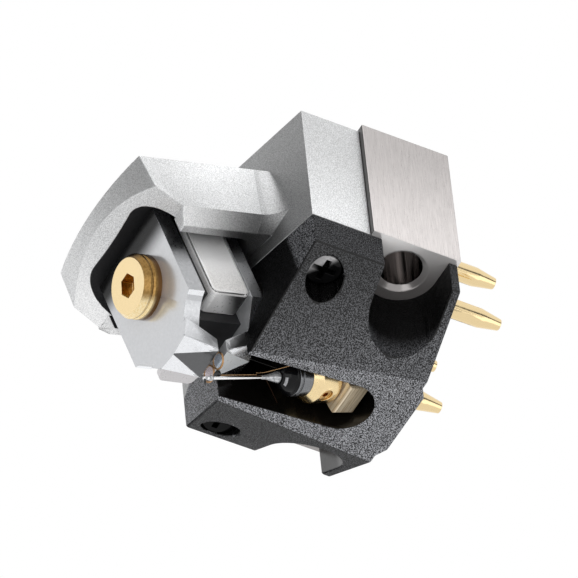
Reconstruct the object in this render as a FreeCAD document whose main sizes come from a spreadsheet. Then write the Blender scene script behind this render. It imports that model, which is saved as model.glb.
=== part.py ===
import FreeCAD, Part
import math
import os
import Sketcher

# Moving-coil turntable stylus cartridge, seen as it is mounted: +Z up, pins to the rear (+Y),
# stylus down. The origin is midway between the two mounting holes, on the top mounting face.
# Lengths are in millimetres and angles in degrees.

SIZES = (
    # mount block
    ("mount_width", 17.0),
    ("mount_front", 3.0),
    ("mount_rear", 2.91),
    ("mount_drop", 9.65),
    ("hole_edge", 2.15),
    ("hole_radius", 1.3),
    ("hole_chamfer", 0.3),
    # front housing
    ("housing_width", 16.3),
    ("housing_top", 0.27),
    ("corner_front", 6.94),
    ("apex_front", 8.85),
    # nose that hoods the generator, in the tilted frame
    ("generator_tilt", 18.0),
    ("nose_half", 5.15),
    ("nose_top_half", 5.08),
    ("nose_ridge_half", 5.33),
    ("nose_foot_half", 4.72),
    ("nose_ridge", 4.58),
    ("nose_top", 0.45),
    ("nose_bottom", 5.65),
    ("nose_front", 19.5),
    ("nose_root", 7.6),
    ("nose_corner", 17.6),
    ("chin_front", 16.26),
    ("chin_depth", 2.5),
    ("bow_radius", 19.9),
    ("rim_angle", 28.9),
    ("rim_level", 15.05),
    ("rim_arch_radius", 31.4),
    ("rim_half", 5.6),
    ("cavity_top", 2.62),
    ("cavity_shoulder", 2.2),
    ("cavity_side_x", 4.15),
    ("cavity_side_u", 4.5),
    ("cavity_round", 1.92),
    ("cavity_foot_x", 4.25),
    ("cavity_play", 0.5),
    # lower housing
    ("lower_rear", 2.83),
    ("lower_lip", 0.45),
    ("lip_half", 2.25),
    ("lip_root", 2.95),
    ("lower_side", 2.37),
    ("belly_angle", 35.5),
    ("sole_angle", 5.0),
    ("sole_level", 15.57),
    ("notch_radius", 2.25),
    ("slot_half", 1.8),
    ("slot_end", 0.9),
    ("slot_roof", 12.0),
    ("recess_play", 0.2),
    ("recess_roof", 4.0),
    # housing screws
    ("screw_x", 6.52),
    ("screw_y", 5.53),
    ("screw_head_radius", 1.08),
    ("screw_head_length", 1.0),
    ("screw_face", 12.3),
    ("screw_shank", 0.6),
    ("screw_tip", 7.6),
    ("screw_gap", 0.08),
    ("cross_width", 0.36),
    ("cross_length", 1.5),
    ("cross_depth", 0.6),
    # generator
    ("yoke_half", 3.39),
    ("yoke_top", 3.1),
    ("yoke_corner", 9.61),
    ("yoke_foot_half", 1.48),
    ("yoke_foot", 11.49),
    ("front_yoke_front", 16.75),
    ("front_yoke_thick", 1.12),
    ("yoke_stack", 5.35),
    ("rear_yoke_thick", 0.85),
    ("pole_gap_centre", 14.14),
    ("pole_gap", 0.6),
    ("pole_root_half", 2.2),
    ("pole_root_top", 10.75),
    ("pole_side_half", 1.46),
    ("pole_side_foot", 11.5),
    ("pole_keel_half", 0.05),
    ("pole_keel_foot", 11.65),
    ("pole_tip_top_half", 1.46),
    ("pole_tip_top", 11.54),
    ("pole_tip_side_half", 1.24),
    ("pole_tip_side", 12.12),
    ("pole_tip_half", 1.16),
    ("pole_tip_foot", 12.22),
    ("coil_relief", 0.8),
    ("yoke_scoop", 3.2),
    ("spacer_half", 1.6),
    ("spacer_foot", 10.2),
    ("flange_half", 2.9),
    ("flange_thick", 0.63),
    ("magnet_foot", 9.55),
    ("magnet_top", 3.3),
    ("magnet_round", 0.45),
    ("magnet_edge", 0.12),
    ("yoke_screw_level", 6.3),
    ("yoke_screw_radius", 1.95),
    ("yoke_screw_face", 1.7),
    ("yoke_screw_head", 1.15),
    ("yoke_screw_bevel", 0.35),
    ("yoke_screw_groove", 0.12),
    ("yoke_screw_shank", 0.8),
    ("yoke_screw_length", 2.2),
    ("yoke_screw_socket", 0.75),
    ("yoke_screw_depth", 0.8),
    ("screw_play", 0.05),
    ("bore_play", 0.01),
    # suspension, along the rod's own axis from the point where it flexes
    ("rod_tilt", 25.6),
    ("pivot_y", 4.87),
    ("pivot_z", 14.83),
    ("rod_radius", 0.1),
    ("rod_front", 6.2),
    ("rod_rear", 0.95),
    ("sleeve_front", 1.75),
    ("sleeve_rear", 0.5),
    ("sleeve_nose", 0.14),
    ("sleeve_waist", 0.24),
    ("sleeve_tail", 0.36),
    ("sleeve_bore", 0.25),
    ("pipe_radius", 0.22),
    ("pipe_bore", 0.08),
    ("wire_radius", 0.05),
    ("wire_front", 0.85),
    ("wire_rear", 3.0),
    ("damper_front", 0.44),
    ("damper_shoulder", 0.25),
    ("damper_rear", 0.35),
    ("damper_nose", 0.45),
    ("damper_radius", 1.0),
    ("damper_ridge", 1.1),
    ("damper_bore", 0.16),
    ("washer_rear", 1.35),
    ("washer_radius", 1.16),
    ("washer_flange", 0.15),
    ("washer_groove", 0.08),
    ("barrel_radius", 1.58),
    ("barrel_cone", 0.45),
    ("barrel_rear", 3.2),
    ("neck_radius", 1.2),
    ("neck_rear", 3.34),
    ("set_screw_place", 2.35),
    ("set_screw_radius", 0.42),
    ("set_screw_socket", 0.2),
    ("set_screw_sunk", 0.12),
    ("set_screw_depth", 0.35),
    ("block_half", 1.16),
    ("block_rise", 1.9),
    ("block_drop", 1.95),
    ("block_length", 1.6),
    ("block_bevel", 0.12),
    ("seat_play", 0.02),
    # coils and stylus
    ("coil_place", 14.2),
    ("coil_spacing", 1.12),
    ("coil_level", 12.41),
    ("coil_radius", 0.55),
    ("coil_bore", 0.42),
    ("coil_thick", 0.1),
    ("film_thick", 0.04),
    ("carrier_half", 0.26),
    ("carrier_rise", 0.32),
    ("carrier_thick", 0.2),
    ("stylus_place", 6.1),
    ("stylus_half", 0.07),
    ("stylus_shank", 0.32),
    ("stylus_length", 0.65),
    ("stylus_point", 0.012),
    ("lead_radius", 0.03),
    ("lead_side", 0.08),
    ("lead_level", 0.15),
    ("lead_front", 4.85),
    ("lead_break", 2.1),
    ("tail_roll", 22.8),
    ("tail_play", 0.06),
    ("tail_side", 0.1),
    ("tail_level", 0.27),
    ("right_bend", 1.0),
    ("right_straight", 0.1),
    ("left_bend", 0.45),
    ("left_straight", 0.5),
    ("tail_angle", 48.0),
    ("tail_short", 0.025),
    # terminals
    ("plate_half", 4.5),
    ("plate_top", 2.9),
    ("plate_bottom", 9.1),
    ("plate_depth", 1.6),
    ("plate_proud", 0.2),
    ("pin_x", 3.675),
    ("pin_upper", 4.1),
    ("pin_lower", 7.82),
    ("pin_radius", 0.6),
    ("pin_root", 0.45),
    ("pin_length", 5.4),
    ("pin_taper", 1.35),
    ("pin_tip_radius", 0.36),
)

# Places worked out from the sizes above, as cells of the same sheet.
PLACES = (
    ("mount_half", "=mount_width / 2"),
    ("hole_spacing", "=mount_width - 2 * hole_edge"),
    ("hole_x", "=hole_spacing / 2"),
    ("housing_half", "=housing_width / 2"),
    ("housing_tall", "=mount_drop - housing_top"),
    ("lip_rear", "=lower_rear + lower_lip"),
    ("side_foot", "=mount_drop + lower_side"),
    ("belly_out", "=housing_half + 1"),
    ("belly_out_z", "=side_foot - tan(belly_angle)"),
    ("belly_ridge", "=side_foot + housing_half * tan(belly_angle)"),
    ("belly_floor", "=belly_ridge + 1"),
    ("sole_front", "=apex_front + 1"),
    ("sole_front_z", "=sole_level + sole_front * tan(sole_angle)"),
    ("sole_rear", "=lip_rear + 1"),
    ("sole_rear_z", "=sole_level - sole_rear * tan(sole_angle)"),
    ("lower_deep", "=belly_floor - mount_drop"),
    ("notch_outer", "=housing_half + 1"),
    ("slot_centre", "=slot_half - slot_end"),
    ("slot_depth", "=belly_floor - slot_roof"),
    ("screw_pocket", "=screw_head_radius + screw_gap"),
    ("screw_seat", "=screw_face - screw_head_length"),
    ("screw_shank_length", "=screw_seat - screw_tip"),
    ("screw_mouth_deep", "=belly_floor - screw_seat"),
    ("screw_lower_deep", "=belly_floor - mount_drop"),
    ("screw_upper_deep", "=mount_drop - screw_tip"),
    ("cross_half", "=cross_width / 2"),
    ("cross_reach", "=cross_length / 2"),
    ("front_yoke_rear", "=front_yoke_front - front_yoke_thick"),
    ("rear_yoke_rear", "=front_yoke_front - yoke_stack"),
    ("recess_back", "=rear_yoke_rear - recess_play"),
    ("cavity_back", "=rear_yoke_rear - cavity_play"),
    ("rear_yoke_front", "=rear_yoke_rear + rear_yoke_thick"),
    ("front_pole_end", "=pole_gap_centre + pole_gap / 2"),
    ("rear_pole_end", "=pole_gap_centre - pole_gap / 2"),
    ("magnet_front", "=front_yoke_rear - flange_thick"),
    ("magnet_thick", "=magnet_front - rear_yoke_front"),
    ("spacer_thick", "=front_yoke_rear - rear_yoke_front"),
    ("yoke_screw_front", "=front_yoke_front + yoke_screw_head"),
    ("yoke_screw_brow", "=yoke_screw_front - yoke_screw_bevel"),
    ("yoke_screw_ring_a", "=yoke_screw_brow - yoke_screw_groove"),
    ("yoke_screw_ring_b", "=yoke_screw_ring_a - yoke_screw_groove"),
    ("yoke_screw_ring_c", "=yoke_screw_ring_b - yoke_screw_groove"),
    ("sleeve_middle", "=(sleeve_front + sleeve_rear) / 2"),
    ("damper_round", "=damper_radius * 1.1"),
    ("set_screw_y", "=pivot_y - set_screw_place * cos(rod_tilt)"),
    ("set_screw_z", "=pivot_z - set_screw_place * sin(rod_tilt)"),
    ("yoke_screw_waist", "=yoke_screw_radius - yoke_screw_groove"),
    ("yoke_screw_end", "=front_yoke_rear - yoke_screw_length"),
    ("yoke_screw_hole", "=yoke_screw_shank + screw_play"),
    ("block_seat_half", "=block_half + seat_play"),
    ("block_seat_rise", "=block_rise + seat_play"),
    ("block_seat_front", "=neck_rear - seat_play"),
    ("block_seat_deep", "=block_length + seat_play * 2"),
    ("wire_hole", "=wire_radius + 0.01"),
    ("set_screw_hole", "=set_screw_radius + seat_play"),
    ("set_screw_face", "=barrel_radius - set_screw_sunk"),
    ("set_screw_tip", "=wire_radius + seat_play"),
    ("set_screw_tall", "=set_screw_face - set_screw_tip"),
    ("coil_x", "=coil_spacing / 2"),
    ("coil_front", "=coil_place + coil_thick / 2"),
    ("film_front", "=coil_place + film_thick / 2"),
    ("carrier_front", "=coil_place + carrier_thick / 2"),
    ("rod_level", "=coil_level + 0.854"),
    ("carrier_foot", "=rod_level - rod_radius - 0.03"),
    ("carrier_top", "=carrier_foot - carrier_rise"),
    ("relief_deep", "=pole_tip_foot + 1"),
    ("relief_tall", "=relief_deep - spacer_foot - 0.1"),
    ("recess_side", "=yoke_half + 0.1"),
    ("recess_corner", "=yoke_corner + 0.05"),
    ("recess_keel_half", "=yoke_foot_half + 0.1"),
    ("recess_keel", "=yoke_foot + 0.05"),
    ("washer_front", "=damper_rear"),
    ("washer_step", "=washer_front + washer_flange"),
    ("washer_body", "=washer_step + washer_flange"),
    ("washer_waist", "=washer_radius - washer_groove"),
    ("barrel_full", "=washer_rear + barrel_cone"),
    ("stylus_root", "=rod_radius + bore_play"),
    ("tail_start", "=lead_break - tail_play"),
    ("plate_rear", "=mount_rear + plate_proud"),
    ("plate_thick", "=plate_depth + plate_proud"),
    ("pin_end", "=mount_rear + pin_length"),
    ("pin_shoulder", "=pin_end - pin_taper"),
    ("plate_seat_half", "=plate_half + seat_play"),
    ("plate_seat_top", "=plate_top - seat_play"),
    ("plate_seat_bottom", "=plate_bottom + seat_play"),
    ("pin_hole", "=pin_root + bore_play"),
    ("pin_inner", "=pin_x - pin_hole"),
    ("pin_outer", "=pin_x + pin_hole"),
    ("upper_roof", "=pin_upper - pin_hole"),
    ("upper_floor", "=pin_upper + pin_hole"),
    ("lower_roof", "=pin_lower - pin_hole"),
    ("lower_floor", "=pin_lower + pin_hole"),
    ("axis_back", "=pivot_y * cos(rod_tilt) + pivot_z * sin(rod_tilt)"),
    ("axis_drop", "=pivot_z * cos(rod_tilt) - pivot_y * sin(rod_tilt)"),
    ("block_seat_lift", "=axis_back - block_seat_front"),
    ("block_seat_low", "=axis_drop"),
    ("block_seat_high", "=axis_drop - block_seat_rise"),
    ("far", "=mount_width * 2"),
    ("cut_long", "=far * 2"),
    ("nose_depth", "=nose_front - nose_root"),
    ("cavity_length", "=nose_front - cavity_back + 1"),
    ("recess_length", "=nose_front - recess_back"),
    ("screw_way", "=screw_shank + screw_gap"),
    ("yoke_screw_y", "=yoke_screw_level * sin(generator_tilt)"),
    ("yoke_screw_z", "=yoke_screw_level * cos(generator_tilt)"),
    ("yoke_screw_bore_deep", "=yoke_screw_length + 0.1"),
    ("yoke_socket_half", "=yoke_screw_socket / 2"),
    ("yoke_socket_rise", "=yoke_screw_socket * 0.8660254"),
    ("set_socket_half", "=set_screw_socket / 2"),
    ("set_socket_rise", "=set_screw_socket * 0.8660254"),
    ("flange_foot", "=magnet_foot - 0.25"),
    ("rod_length", "=rod_front - rod_rear"),
    ("film_radius", "=coil_bore - bore_play"),
    ("carrier_cut", "=coil_radius + bore_play / 2"),
    ("stylus_y", "=pivot_y + stylus_place * cos(rod_tilt)"),
    ("stylus_z", "=pivot_z + stylus_place * sin(rod_tilt)"),
    ("lead_length", "=lead_front - lead_break"),
    ("lead_flat", "=lead_radius * 0.70710678"),
    ("tail_reach", "=(slot_half - tail_side - tail_short) / cos(tail_roll)"),
    ("right_turn", "=tail_start - right_straight"),
    ("right_out", "=right_bend * (1 - cos(tail_angle))"),
    ("right_out_y", "=right_turn - right_bend * sin(tail_angle)"),
    ("right_end_y", "=right_out_y - (tail_reach - right_out) / tan(tail_angle)"),
    ("left_turn", "=tail_start - left_straight"),
    ("left_out", "=left_bend * (1 - cos(tail_angle))"),
    ("left_out_y", "=left_turn - left_bend * sin(tail_angle)"),
    ("left_end_y", "=left_out_y - (tail_reach - left_out) / tan(tail_angle)"),
    ("tail_y", "=pivot_y + tail_level * sin(rod_tilt)"),
    ("tail_z", "=pivot_z - tail_level * cos(rod_tilt)"),
    ("pipe_front", "=rod_rear - 0.02"),
    ("pipe_rear", "=sleeve_rear - 0.02"),
    ("wire_length", "=wire_front + wire_rear"),
    ("cross_far", "=cross_reach"),
)

doc = FreeCAD.newDocument("Cartridge")
sheet = doc.addObject("Spreadsheet::Sheet", "Sizes")


def fill_sheet():
    row = 1
    for name, size in SIZES:
        sheet.set("A%d" % row, name)
        sheet.set("B%d" % row, str(size))
        sheet.setAlias("B%d" % row, name)
        row += 1
    for name, formula in PLACES:
        sheet.set("A%d" % row, name)
        sheet.set("B%d" % row, formula)
        sheet.setAlias("B%d" % row, name)
        row += 1
    doc.recompute()


def value_of(name):
    size = sheet.get(name)
    return float(getattr(size, "Value", size))


def number(term):
    """Value of a sheet name, with an optional minus sign in front."""
    if term == "0":
        return 0.0
    if term.startswith("-"):
        return -value_of(term[1:])
    return value_of(term)


def bound(term):
    """The same term as an expression."""
    if term.startswith("-"):
        return "-Sizes." + term[1:]
    return "Sizes." + term


def new_body(name, tilt=None, spot=("0", "0", "0")):
    """A body at a named spot, tilted about X by a named angle when one is given."""
    body = doc.addObject("PartDesign::Body", name)
    body.Label = name
    angle = number(tilt) if tilt else 0.0
    body.Placement = FreeCAD.Placement(
        FreeCAD.Vector(*[number(term) for term in spot]),
        FreeCAD.Rotation(FreeCAD.Vector(1, 0, 0), angle))
    if tilt:
        body.setExpression("Placement.Rotation.Angle", bound(tilt))
    for axis, term in zip("xyz", spot):
        if term != "0":
            body.setExpression("Placement.Base." + axis, bound(term))
    return body


def origin_plane(body, plane):
    for item in body.Origin.OriginFeatures:
        if item.Role == plane + "_Plane":
            return item
    raise ValueError(plane)


def new_sketch(body, name, plane, turn=None, lift=None, about=(1, 0, 0)):
    """A sketch on an origin plane, turned by a named angle, then lifted along its normal."""
    sketch = body.newObject("Sketcher::SketchObject", name)
    sketch.AttachmentSupport = [(origin_plane(body, plane), "")]
    sketch.MapMode = "FlatFace"
    axis = FreeCAD.Vector(*about)
    angle = number(turn) if turn else 0.0
    rise = number(lift) if lift else 0.0
    rotation = FreeCAD.Rotation(axis, angle)
    sketch.AttachmentOffset = FreeCAD.Placement(
        rotation.multVec(FreeCAD.Vector(0, 0, rise)), rotation)
    if turn:
        sketch.setExpression("AttachmentOffset.Rotation.Angle", bound(turn))
    if lift and turn:
        sketch.setExpression("AttachmentOffset.Base.y", "-(%s) * sin(%s)" % (bound(lift), bound(turn)))
        sketch.setExpression("AttachmentOffset.Base.z", "(%s) * cos(%s)" % (bound(lift), bound(turn)))
    elif lift:
        sketch.setExpression("AttachmentOffset.Base.z", bound(lift))
    return sketch


def locate(sketch, item, end, across, along):
    """Hold a point of the sketch at two named distances from the origin."""
    for kind, axis, term in (("DistanceX", -2, across), ("DistanceY", -1, along)):
        if term == "0":
            sketch.addConstraint(Sketcher.Constraint("PointOnObject", item, end, axis))
        else:
            index = sketch.addConstraint(
                Sketcher.Constraint(kind, -1, 1, item, end, number(term)))
            sketch.setExpression("Constraints[%d]" % index, bound(term))


def add_arc(sketch, start, finish, radius):
    """An arc between two points; a positive radius bulges to the right of the way travelled."""
    size = abs(number(radius))
    chord = finish - start
    middle = (start + finish) * 0.5
    left = FreeCAD.Vector(-chord.y, chord.x, 0).normalize()
    reach = math.sqrt(max(0.0, size * size - chord.Length * chord.Length / 4))
    bulges = number(radius) > 0
    centre = middle + left * (reach if bulges else -reach)
    begin, stop = (start, finish) if bulges else (finish, start)
    first = math.atan2(begin.y - centre.y, begin.x - centre.x)
    last = math.atan2(stop.y - centre.y, stop.x - centre.x)
    circle = Part.Circle(centre, FreeCAD.Vector(0, 0, 1), size)
    item = sketch.addGeometry(Part.ArcOfCircle(circle, first, last), False)
    return item, ((1, 2) if bulges else (2, 1))


def polygon(body, name, plane, corners, turn=None, lift=None, arcs=None, centre=None):
    """A closed outline through named corners; arcs maps a side to its named radius.

    A half circle is held by one distance of its centre, the other arcs by their radius.
    """
    sketch = new_sketch(body, name, plane, turn, lift)
    spots = [FreeCAD.Vector(number(a), number(b), 0) for a, b in corners]
    ends = []
    for index, spot in enumerate(spots):
        following = spots[(index + 1) % len(spots)]
        if arcs and index in arcs:
            item, pair = add_arc(sketch, spot, following, arcs[index])
            ends.append(pair)
        else:
            sketch.addGeometry(Part.LineSegment(spot, following), False)
            ends.append((1, 2))
    for index in range(len(spots)):
        following = (index + 1) % len(spots)
        sketch.addConstraint(Sketcher.Constraint(
            "Coincident", index, ends[index][1], following, ends[following][0]))
    for index, corner in enumerate(corners):
        locate(sketch, index, ends[index][0], corner[0], corner[1])
    if centre:
        kind, term = centre
        place = sketch.addConstraint(
            Sketcher.Constraint(kind, -1, 1, list(arcs)[0], 3, number(term)))
        sketch.setExpression("Constraints[%d]" % place, bound(term))
    elif arcs:
        for index, radius in arcs.items():
            place = sketch.addConstraint(
                Sketcher.Constraint("Radius", index, abs(number(radius))))
            sketch.setExpression("Constraints[%d]" % place, bound(radius.lstrip("-")))
    return sketch


def circles(body, name, plane, items, turn=None, lift=None):
    """Circles, each given as across, along and radius."""
    sketch = new_sketch(body, name, plane, turn, lift)
    for across, along, radius in items:
        centre = FreeCAD.Vector(number(across), number(along), 0)
        item = sketch.addGeometry(
            Part.Circle(centre, FreeCAD.Vector(0, 0, 1), number(radius)), False)
        locate(sketch, item, 3, across, along)
        place = sketch.addConstraint(Sketcher.Constraint("Radius", item, number(radius)))
        sketch.setExpression("Constraints[%d]" % place, bound(radius))
    return sketch


def box(body, name, plane, left, right, low, high, turn=None, lift=None):
    corners = ((left, low), (right, low), (right, high), (left, high))
    return polygon(body, name, plane, corners, turn, lift)


def extrude(body, kind, name, sketch, length, both=False, back=False):
    """A pad or pocket of a named length; a pocket that removes nothing is an error."""
    before = body.Shape.Volume if not body.Shape.isNull() else 0.0
    feature = body.newObject("PartDesign::" + kind, name)
    feature.Profile = sketch
    feature.Type = "Length"
    feature.SideType = "Symmetric" if both else "One side"
    feature.Reversed = back
    feature.setExpression("Length", bound(length))
    doc.recompute()
    change = feature.Shape.Volume - before
    if (kind == "Pad") == (change <= 1e-6):
        raise RuntimeError("%s changes the volume by %.4f" % (name, change))
    return feature


def pad(body, name, sketch, length, both=False, back=False):
    return extrude(body, "Pad", name, sketch, length, both, back)


def pocket(body, name, sketch, length, both=False, back=False):
    return extrude(body, "Pocket", name, sketch, length, both, back)


def revolve(body, name, sketch, axis="V_Axis", cut=False):
    """A full turn of a sketch about one of its own axes."""
    before = body.Shape.Volume if not body.Shape.isNull() else 0.0
    kind = "Groove" if cut else "Revolution"
    feature = body.newObject("PartDesign::" + kind, name)
    feature.Profile = sketch
    feature.ReferenceAxis = (sketch, [axis])
    feature.Angle = 360.0
    doc.recompute()
    change = feature.Shape.Volume - before
    if cut == (change >= -1e-6):
        raise RuntimeError("%s changes the volume by %.4f" % (name, change))
    return feature


def dress(body, kind, name, edges, size):
    """Fillet or chamfer the named edges of the body's tip."""
    feature = body.newObject("PartDesign::" + kind, name)
    feature.Base = (body.Tip if body.Tip != feature else feature.BaseFeature, edges)
    feature.setExpression("Radius" if kind == "Fillet" else "Size", bound(size))
    doc.recompute()
    return feature


def edges_where(shape, test):
    """Names of the edges whose two ends and middle pass a test."""
    names = []
    for index, edge in enumerate(shape.Edges, 1):
        first, last = edge.FirstParameter, edge.LastParameter
        points = [edge.valueAt(first), edge.valueAt((first + last) / 2), edge.valueAt(last)]
        if all(test(point) for point in points):
            names.append("Edge%d" % index)
    return names


# The mount block carries the arm screws and the terminals.
def make_mount_block():
    body = new_body("mount_block")
    plan = box(body, "MountPlan", "XY", "-mount_half", "mount_half", "-mount_front", "mount_rear")
    pad(body, "MountPad", plan, "mount_drop", back=True)
    holes = circles(body, "MountHoles", "XY", (
        ("hole_x", "0", "hole_radius"), ("-hole_x", "0", "hole_radius")))
    pocket(body, "MountBores", holes, "mount_drop")
    seat = box(body, "PlateSeat", "XZ", "-plate_seat_half", "plate_seat_half",
               "-plate_seat_bottom", "-plate_seat_top", lift="-plate_rear")
    pocket(body, "PlatePocket", seat, "plate_thick", back=True)
    rims = edges_where(body.Shape, on_mount_rim)
    dress(body, "Chamfer", "MountRims", rims, "hole_chamfer")


def on_mount_rim(point):
    """True on either end circle of a mounting bore."""
    reach = math.hypot(abs(point.x) - number("hole_x"), point.y)
    ends = (0.0, -number("mount_drop"))
    return abs(reach - number("hole_radius")) < 1e-3 and min(abs(point.z - end) for end in ends) < 1e-3


# The front housing is the aluminium body with the bowed nose that hoods the generator.
def make_front_housing():
    body = new_body("front_housing")
    plan = polygon(body, "FrontPlan", "XY", (
        ("0", "-apex_front"), ("housing_half", "-corner_front"), ("housing_half", "-mount_front"),
        ("-housing_half", "-mount_front"), ("-housing_half", "-corner_front")), lift="-mount_drop")
    pad(body, "FrontPad", plan, "housing_tall")
    section = polygon(body, "NoseSection", "XZ", (
        ("nose_top_half", "-nose_top"), ("-nose_top_half", "-nose_top"),
        ("-nose_ridge_half", "-nose_ridge"), ("-nose_foot_half", "-nose_bottom"),
        ("nose_foot_half", "-nose_bottom"), ("nose_ridge_half", "-nose_ridge")),
        turn="generator_tilt", lift="nose_front")
    pad(body, "NosePad", section, "nose_depth", back=True)
    bow = polygon(body, "NoseBow", "XY", (
        ("nose_half", "-nose_corner"), ("-nose_half", "-nose_corner"), ("-far", "-nose_corner"),
        ("-far", "-far"), ("far", "-far"), ("far", "-nose_corner")),
        turn="generator_tilt", arcs={0: "-bow_radius"})
    pocket(body, "NoseBowCut", bow, "cut_long", both=True)
    rim = polygon(body, "RimArch", "XZ", (
        ("rim_half", "-rim_level"), ("-rim_half", "-rim_level"), ("-rim_half", "-far"),
        ("rim_half", "-far")), turn="-rim_angle", arcs={0: "rim_arch_radius"})
    pocket(body, "RimCut", rim, "cut_long", both=True)
    chin = polygon(body, "ChinSection", "XZ", (
        ("nose_ridge_half", "-nose_ridge"), ("-nose_ridge_half", "-nose_ridge"),
        ("-nose_foot_half", "-nose_bottom"), ("nose_foot_half", "-nose_bottom")),
        turn="generator_tilt", lift="chin_front")
    pad(body, "ChinPad", chin, "chin_depth", back=True)
    hollow = polygon(body, "NoseHollow", "XZ", (
        ("cavity_foot_x", "-far"), ("cavity_side_x", "-cavity_side_u"),
        ("cavity_shoulder", "-cavity_top"), ("-cavity_shoulder", "-cavity_top"),
        ("-cavity_side_x", "-cavity_side_u"), ("-cavity_foot_x", "-far")),
        turn="generator_tilt", lift="cavity_back", arcs={1: "cavity_round", 3: "cavity_round"})
    pocket(body, "NoseCavity", hollow, "cavity_length", back=True)
    holes = circles(body, "HousingThreads", "XY", (
        ("screw_x", "-screw_y", "screw_shank"), ("-screw_x", "-screw_y", "screw_shank")),
        lift="-mount_drop")
    pocket(body, "HousingThreadBores", holes, "screw_upper_deep", back=True)


# The lower housing closes the body below and holds the suspension in its slot.
def make_lower_housing():
    body = new_body("lower_housing")
    plan = polygon(body, "LowerPlan", "XY", (
        ("0", "-apex_front"), ("housing_half", "-corner_front"), ("housing_half", "lower_rear"),
        ("lip_root", "lower_rear"), ("lip_half", "lip_rear"), ("-lip_half", "lip_rear"),
        ("-lip_root", "lower_rear"), ("-housing_half", "lower_rear"),
        ("-housing_half", "-corner_front")), lift="-mount_drop")
    pad(body, "LowerPad", plan, "lower_deep", back=True)
    belly = polygon(body, "BellyFaces", "XZ", (
        ("0", "-belly_ridge"), ("belly_out", "-belly_out_z"), ("belly_out", "-far"),
        ("-belly_out", "-far"), ("-belly_out", "-belly_out_z")))
    pocket(body, "BellyCut", belly, "cut_long", both=True)
    sole = polygon(body, "SoleFace", "YZ", (
        ("-sole_front", "-sole_front_z"), ("sole_rear", "-sole_rear_z"), ("sole_rear", "-far"),
        ("-sole_front", "-far")))
    pocket(body, "SoleCut", sole, "cut_long", both=True)
    for sign, name, bend in (("", "Right", ""), ("-", "Left", "-")):
        notch = polygon(body, "Notch" + name, "XY", (
            (sign + "hole_x", "-notch_radius"), (sign + "notch_outer", "-notch_radius"),
            (sign + "notch_outer", "notch_radius"), (sign + "hole_x", "notch_radius")),
            lift="-mount_drop", arcs={3: bend + "notch_radius"}, centre=("DistanceX", sign + "hole_x"))
        pocket(body, "NotchCut" + name, notch, "lower_deep")
    slot = polygon(body, "Slot", "XY", (
        ("slot_half", "-slot_centre"), ("-slot_half", "-slot_centre"), ("-slot_half", "-far"),
        ("slot_half", "-far")), lift="-belly_floor", arcs={0: "slot_half"},
        centre=("DistanceY", "-slot_centre"))
    pocket(body, "SlotCut", slot, "slot_depth", back=True)
    recess = polygon(body, "GeneratorRecess", "XZ", (
        ("recess_side", "-recess_corner"), ("recess_side", "-recess_roof"),
        ("-recess_side", "-recess_roof"), ("-recess_side", "-recess_corner"),
        ("-recess_keel_half", "-recess_keel"), ("recess_keel_half", "-recess_keel")),
        turn="generator_tilt", lift="recess_back")
    pocket(body, "GeneratorRecessCut", recess, "recess_length", back=True)
    seat = box(body, "BlockSeat", "XZ", "-block_seat_half", "block_seat_half", "-block_seat_low",
               "-block_seat_high", turn="rod_tilt", lift="block_seat_lift")
    pocket(body, "BlockSeatCut", seat, "block_seat_deep")
    heads = circles(body, "ScrewPockets", "XY", (
        ("screw_x", "-screw_y", "screw_pocket"), ("-screw_x", "-screw_y", "screw_pocket")),
        lift="-belly_floor")
    pocket(body, "ScrewPocketCut", heads, "screw_mouth_deep", back=True)
    ways = circles(body, "ScrewWays", "XY", (
        ("screw_x", "-screw_y", "screw_way"), ("-screw_x", "-screw_y", "screw_way")),
        lift="-mount_drop")
    pocket(body, "ScrewWayCut", ways, "screw_lower_deep")


# Cross-head screws draw the lower housing up against the front housing.
def make_housing_screws():
    for sign, name in (("", "right"), ("-", "left")):
        body = new_body("housing_screw_" + name, spot=(sign + "screw_x", "-screw_y", "0"))
        head = circles(body, "ScrewHead_" + name, "XY", (("0", "0", "screw_head_radius"),),
                       lift="-screw_face")
        pad(body, "ScrewHeadPad_" + name, head, "screw_head_length")
        shank = circles(body, "ScrewShank_" + name, "XY", (("0", "0", "screw_shank"),),
                        lift="-screw_seat")
        pad(body, "ScrewShankPad_" + name, shank, "screw_shank_length")
        for turn, sizes in (("A", ("cross_half", "cross_far")), ("B", ("cross_far", "cross_half"))):
            cross = box(body, "Cross" + turn + "_" + name, "XY", "-" + sizes[0], sizes[0],
                        "-" + sizes[1], sizes[1], lift="-screw_face")
            pocket(body, "CrossCut" + turn + "_" + name, cross, "cross_depth", back=True)


# The yokes are plates whose feet taper into faceted pole tips on both sides of the coil gap.
def yoke_plate(body, name, lift, thick, back, arcs=None):
    plate = polygon(body, name + "Plate", "XZ", (
        ("yoke_half", "-yoke_corner"), ("yoke_half", "-yoke_top"), ("-yoke_half", "-yoke_top"),
        ("-yoke_half", "-yoke_corner"), ("-yoke_foot_half", "-yoke_foot"),
        ("yoke_foot_half", "-yoke_foot")), lift=lift, arcs=arcs)
    pad(body, name + "PlatePad", plate, thick, back=back)


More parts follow.
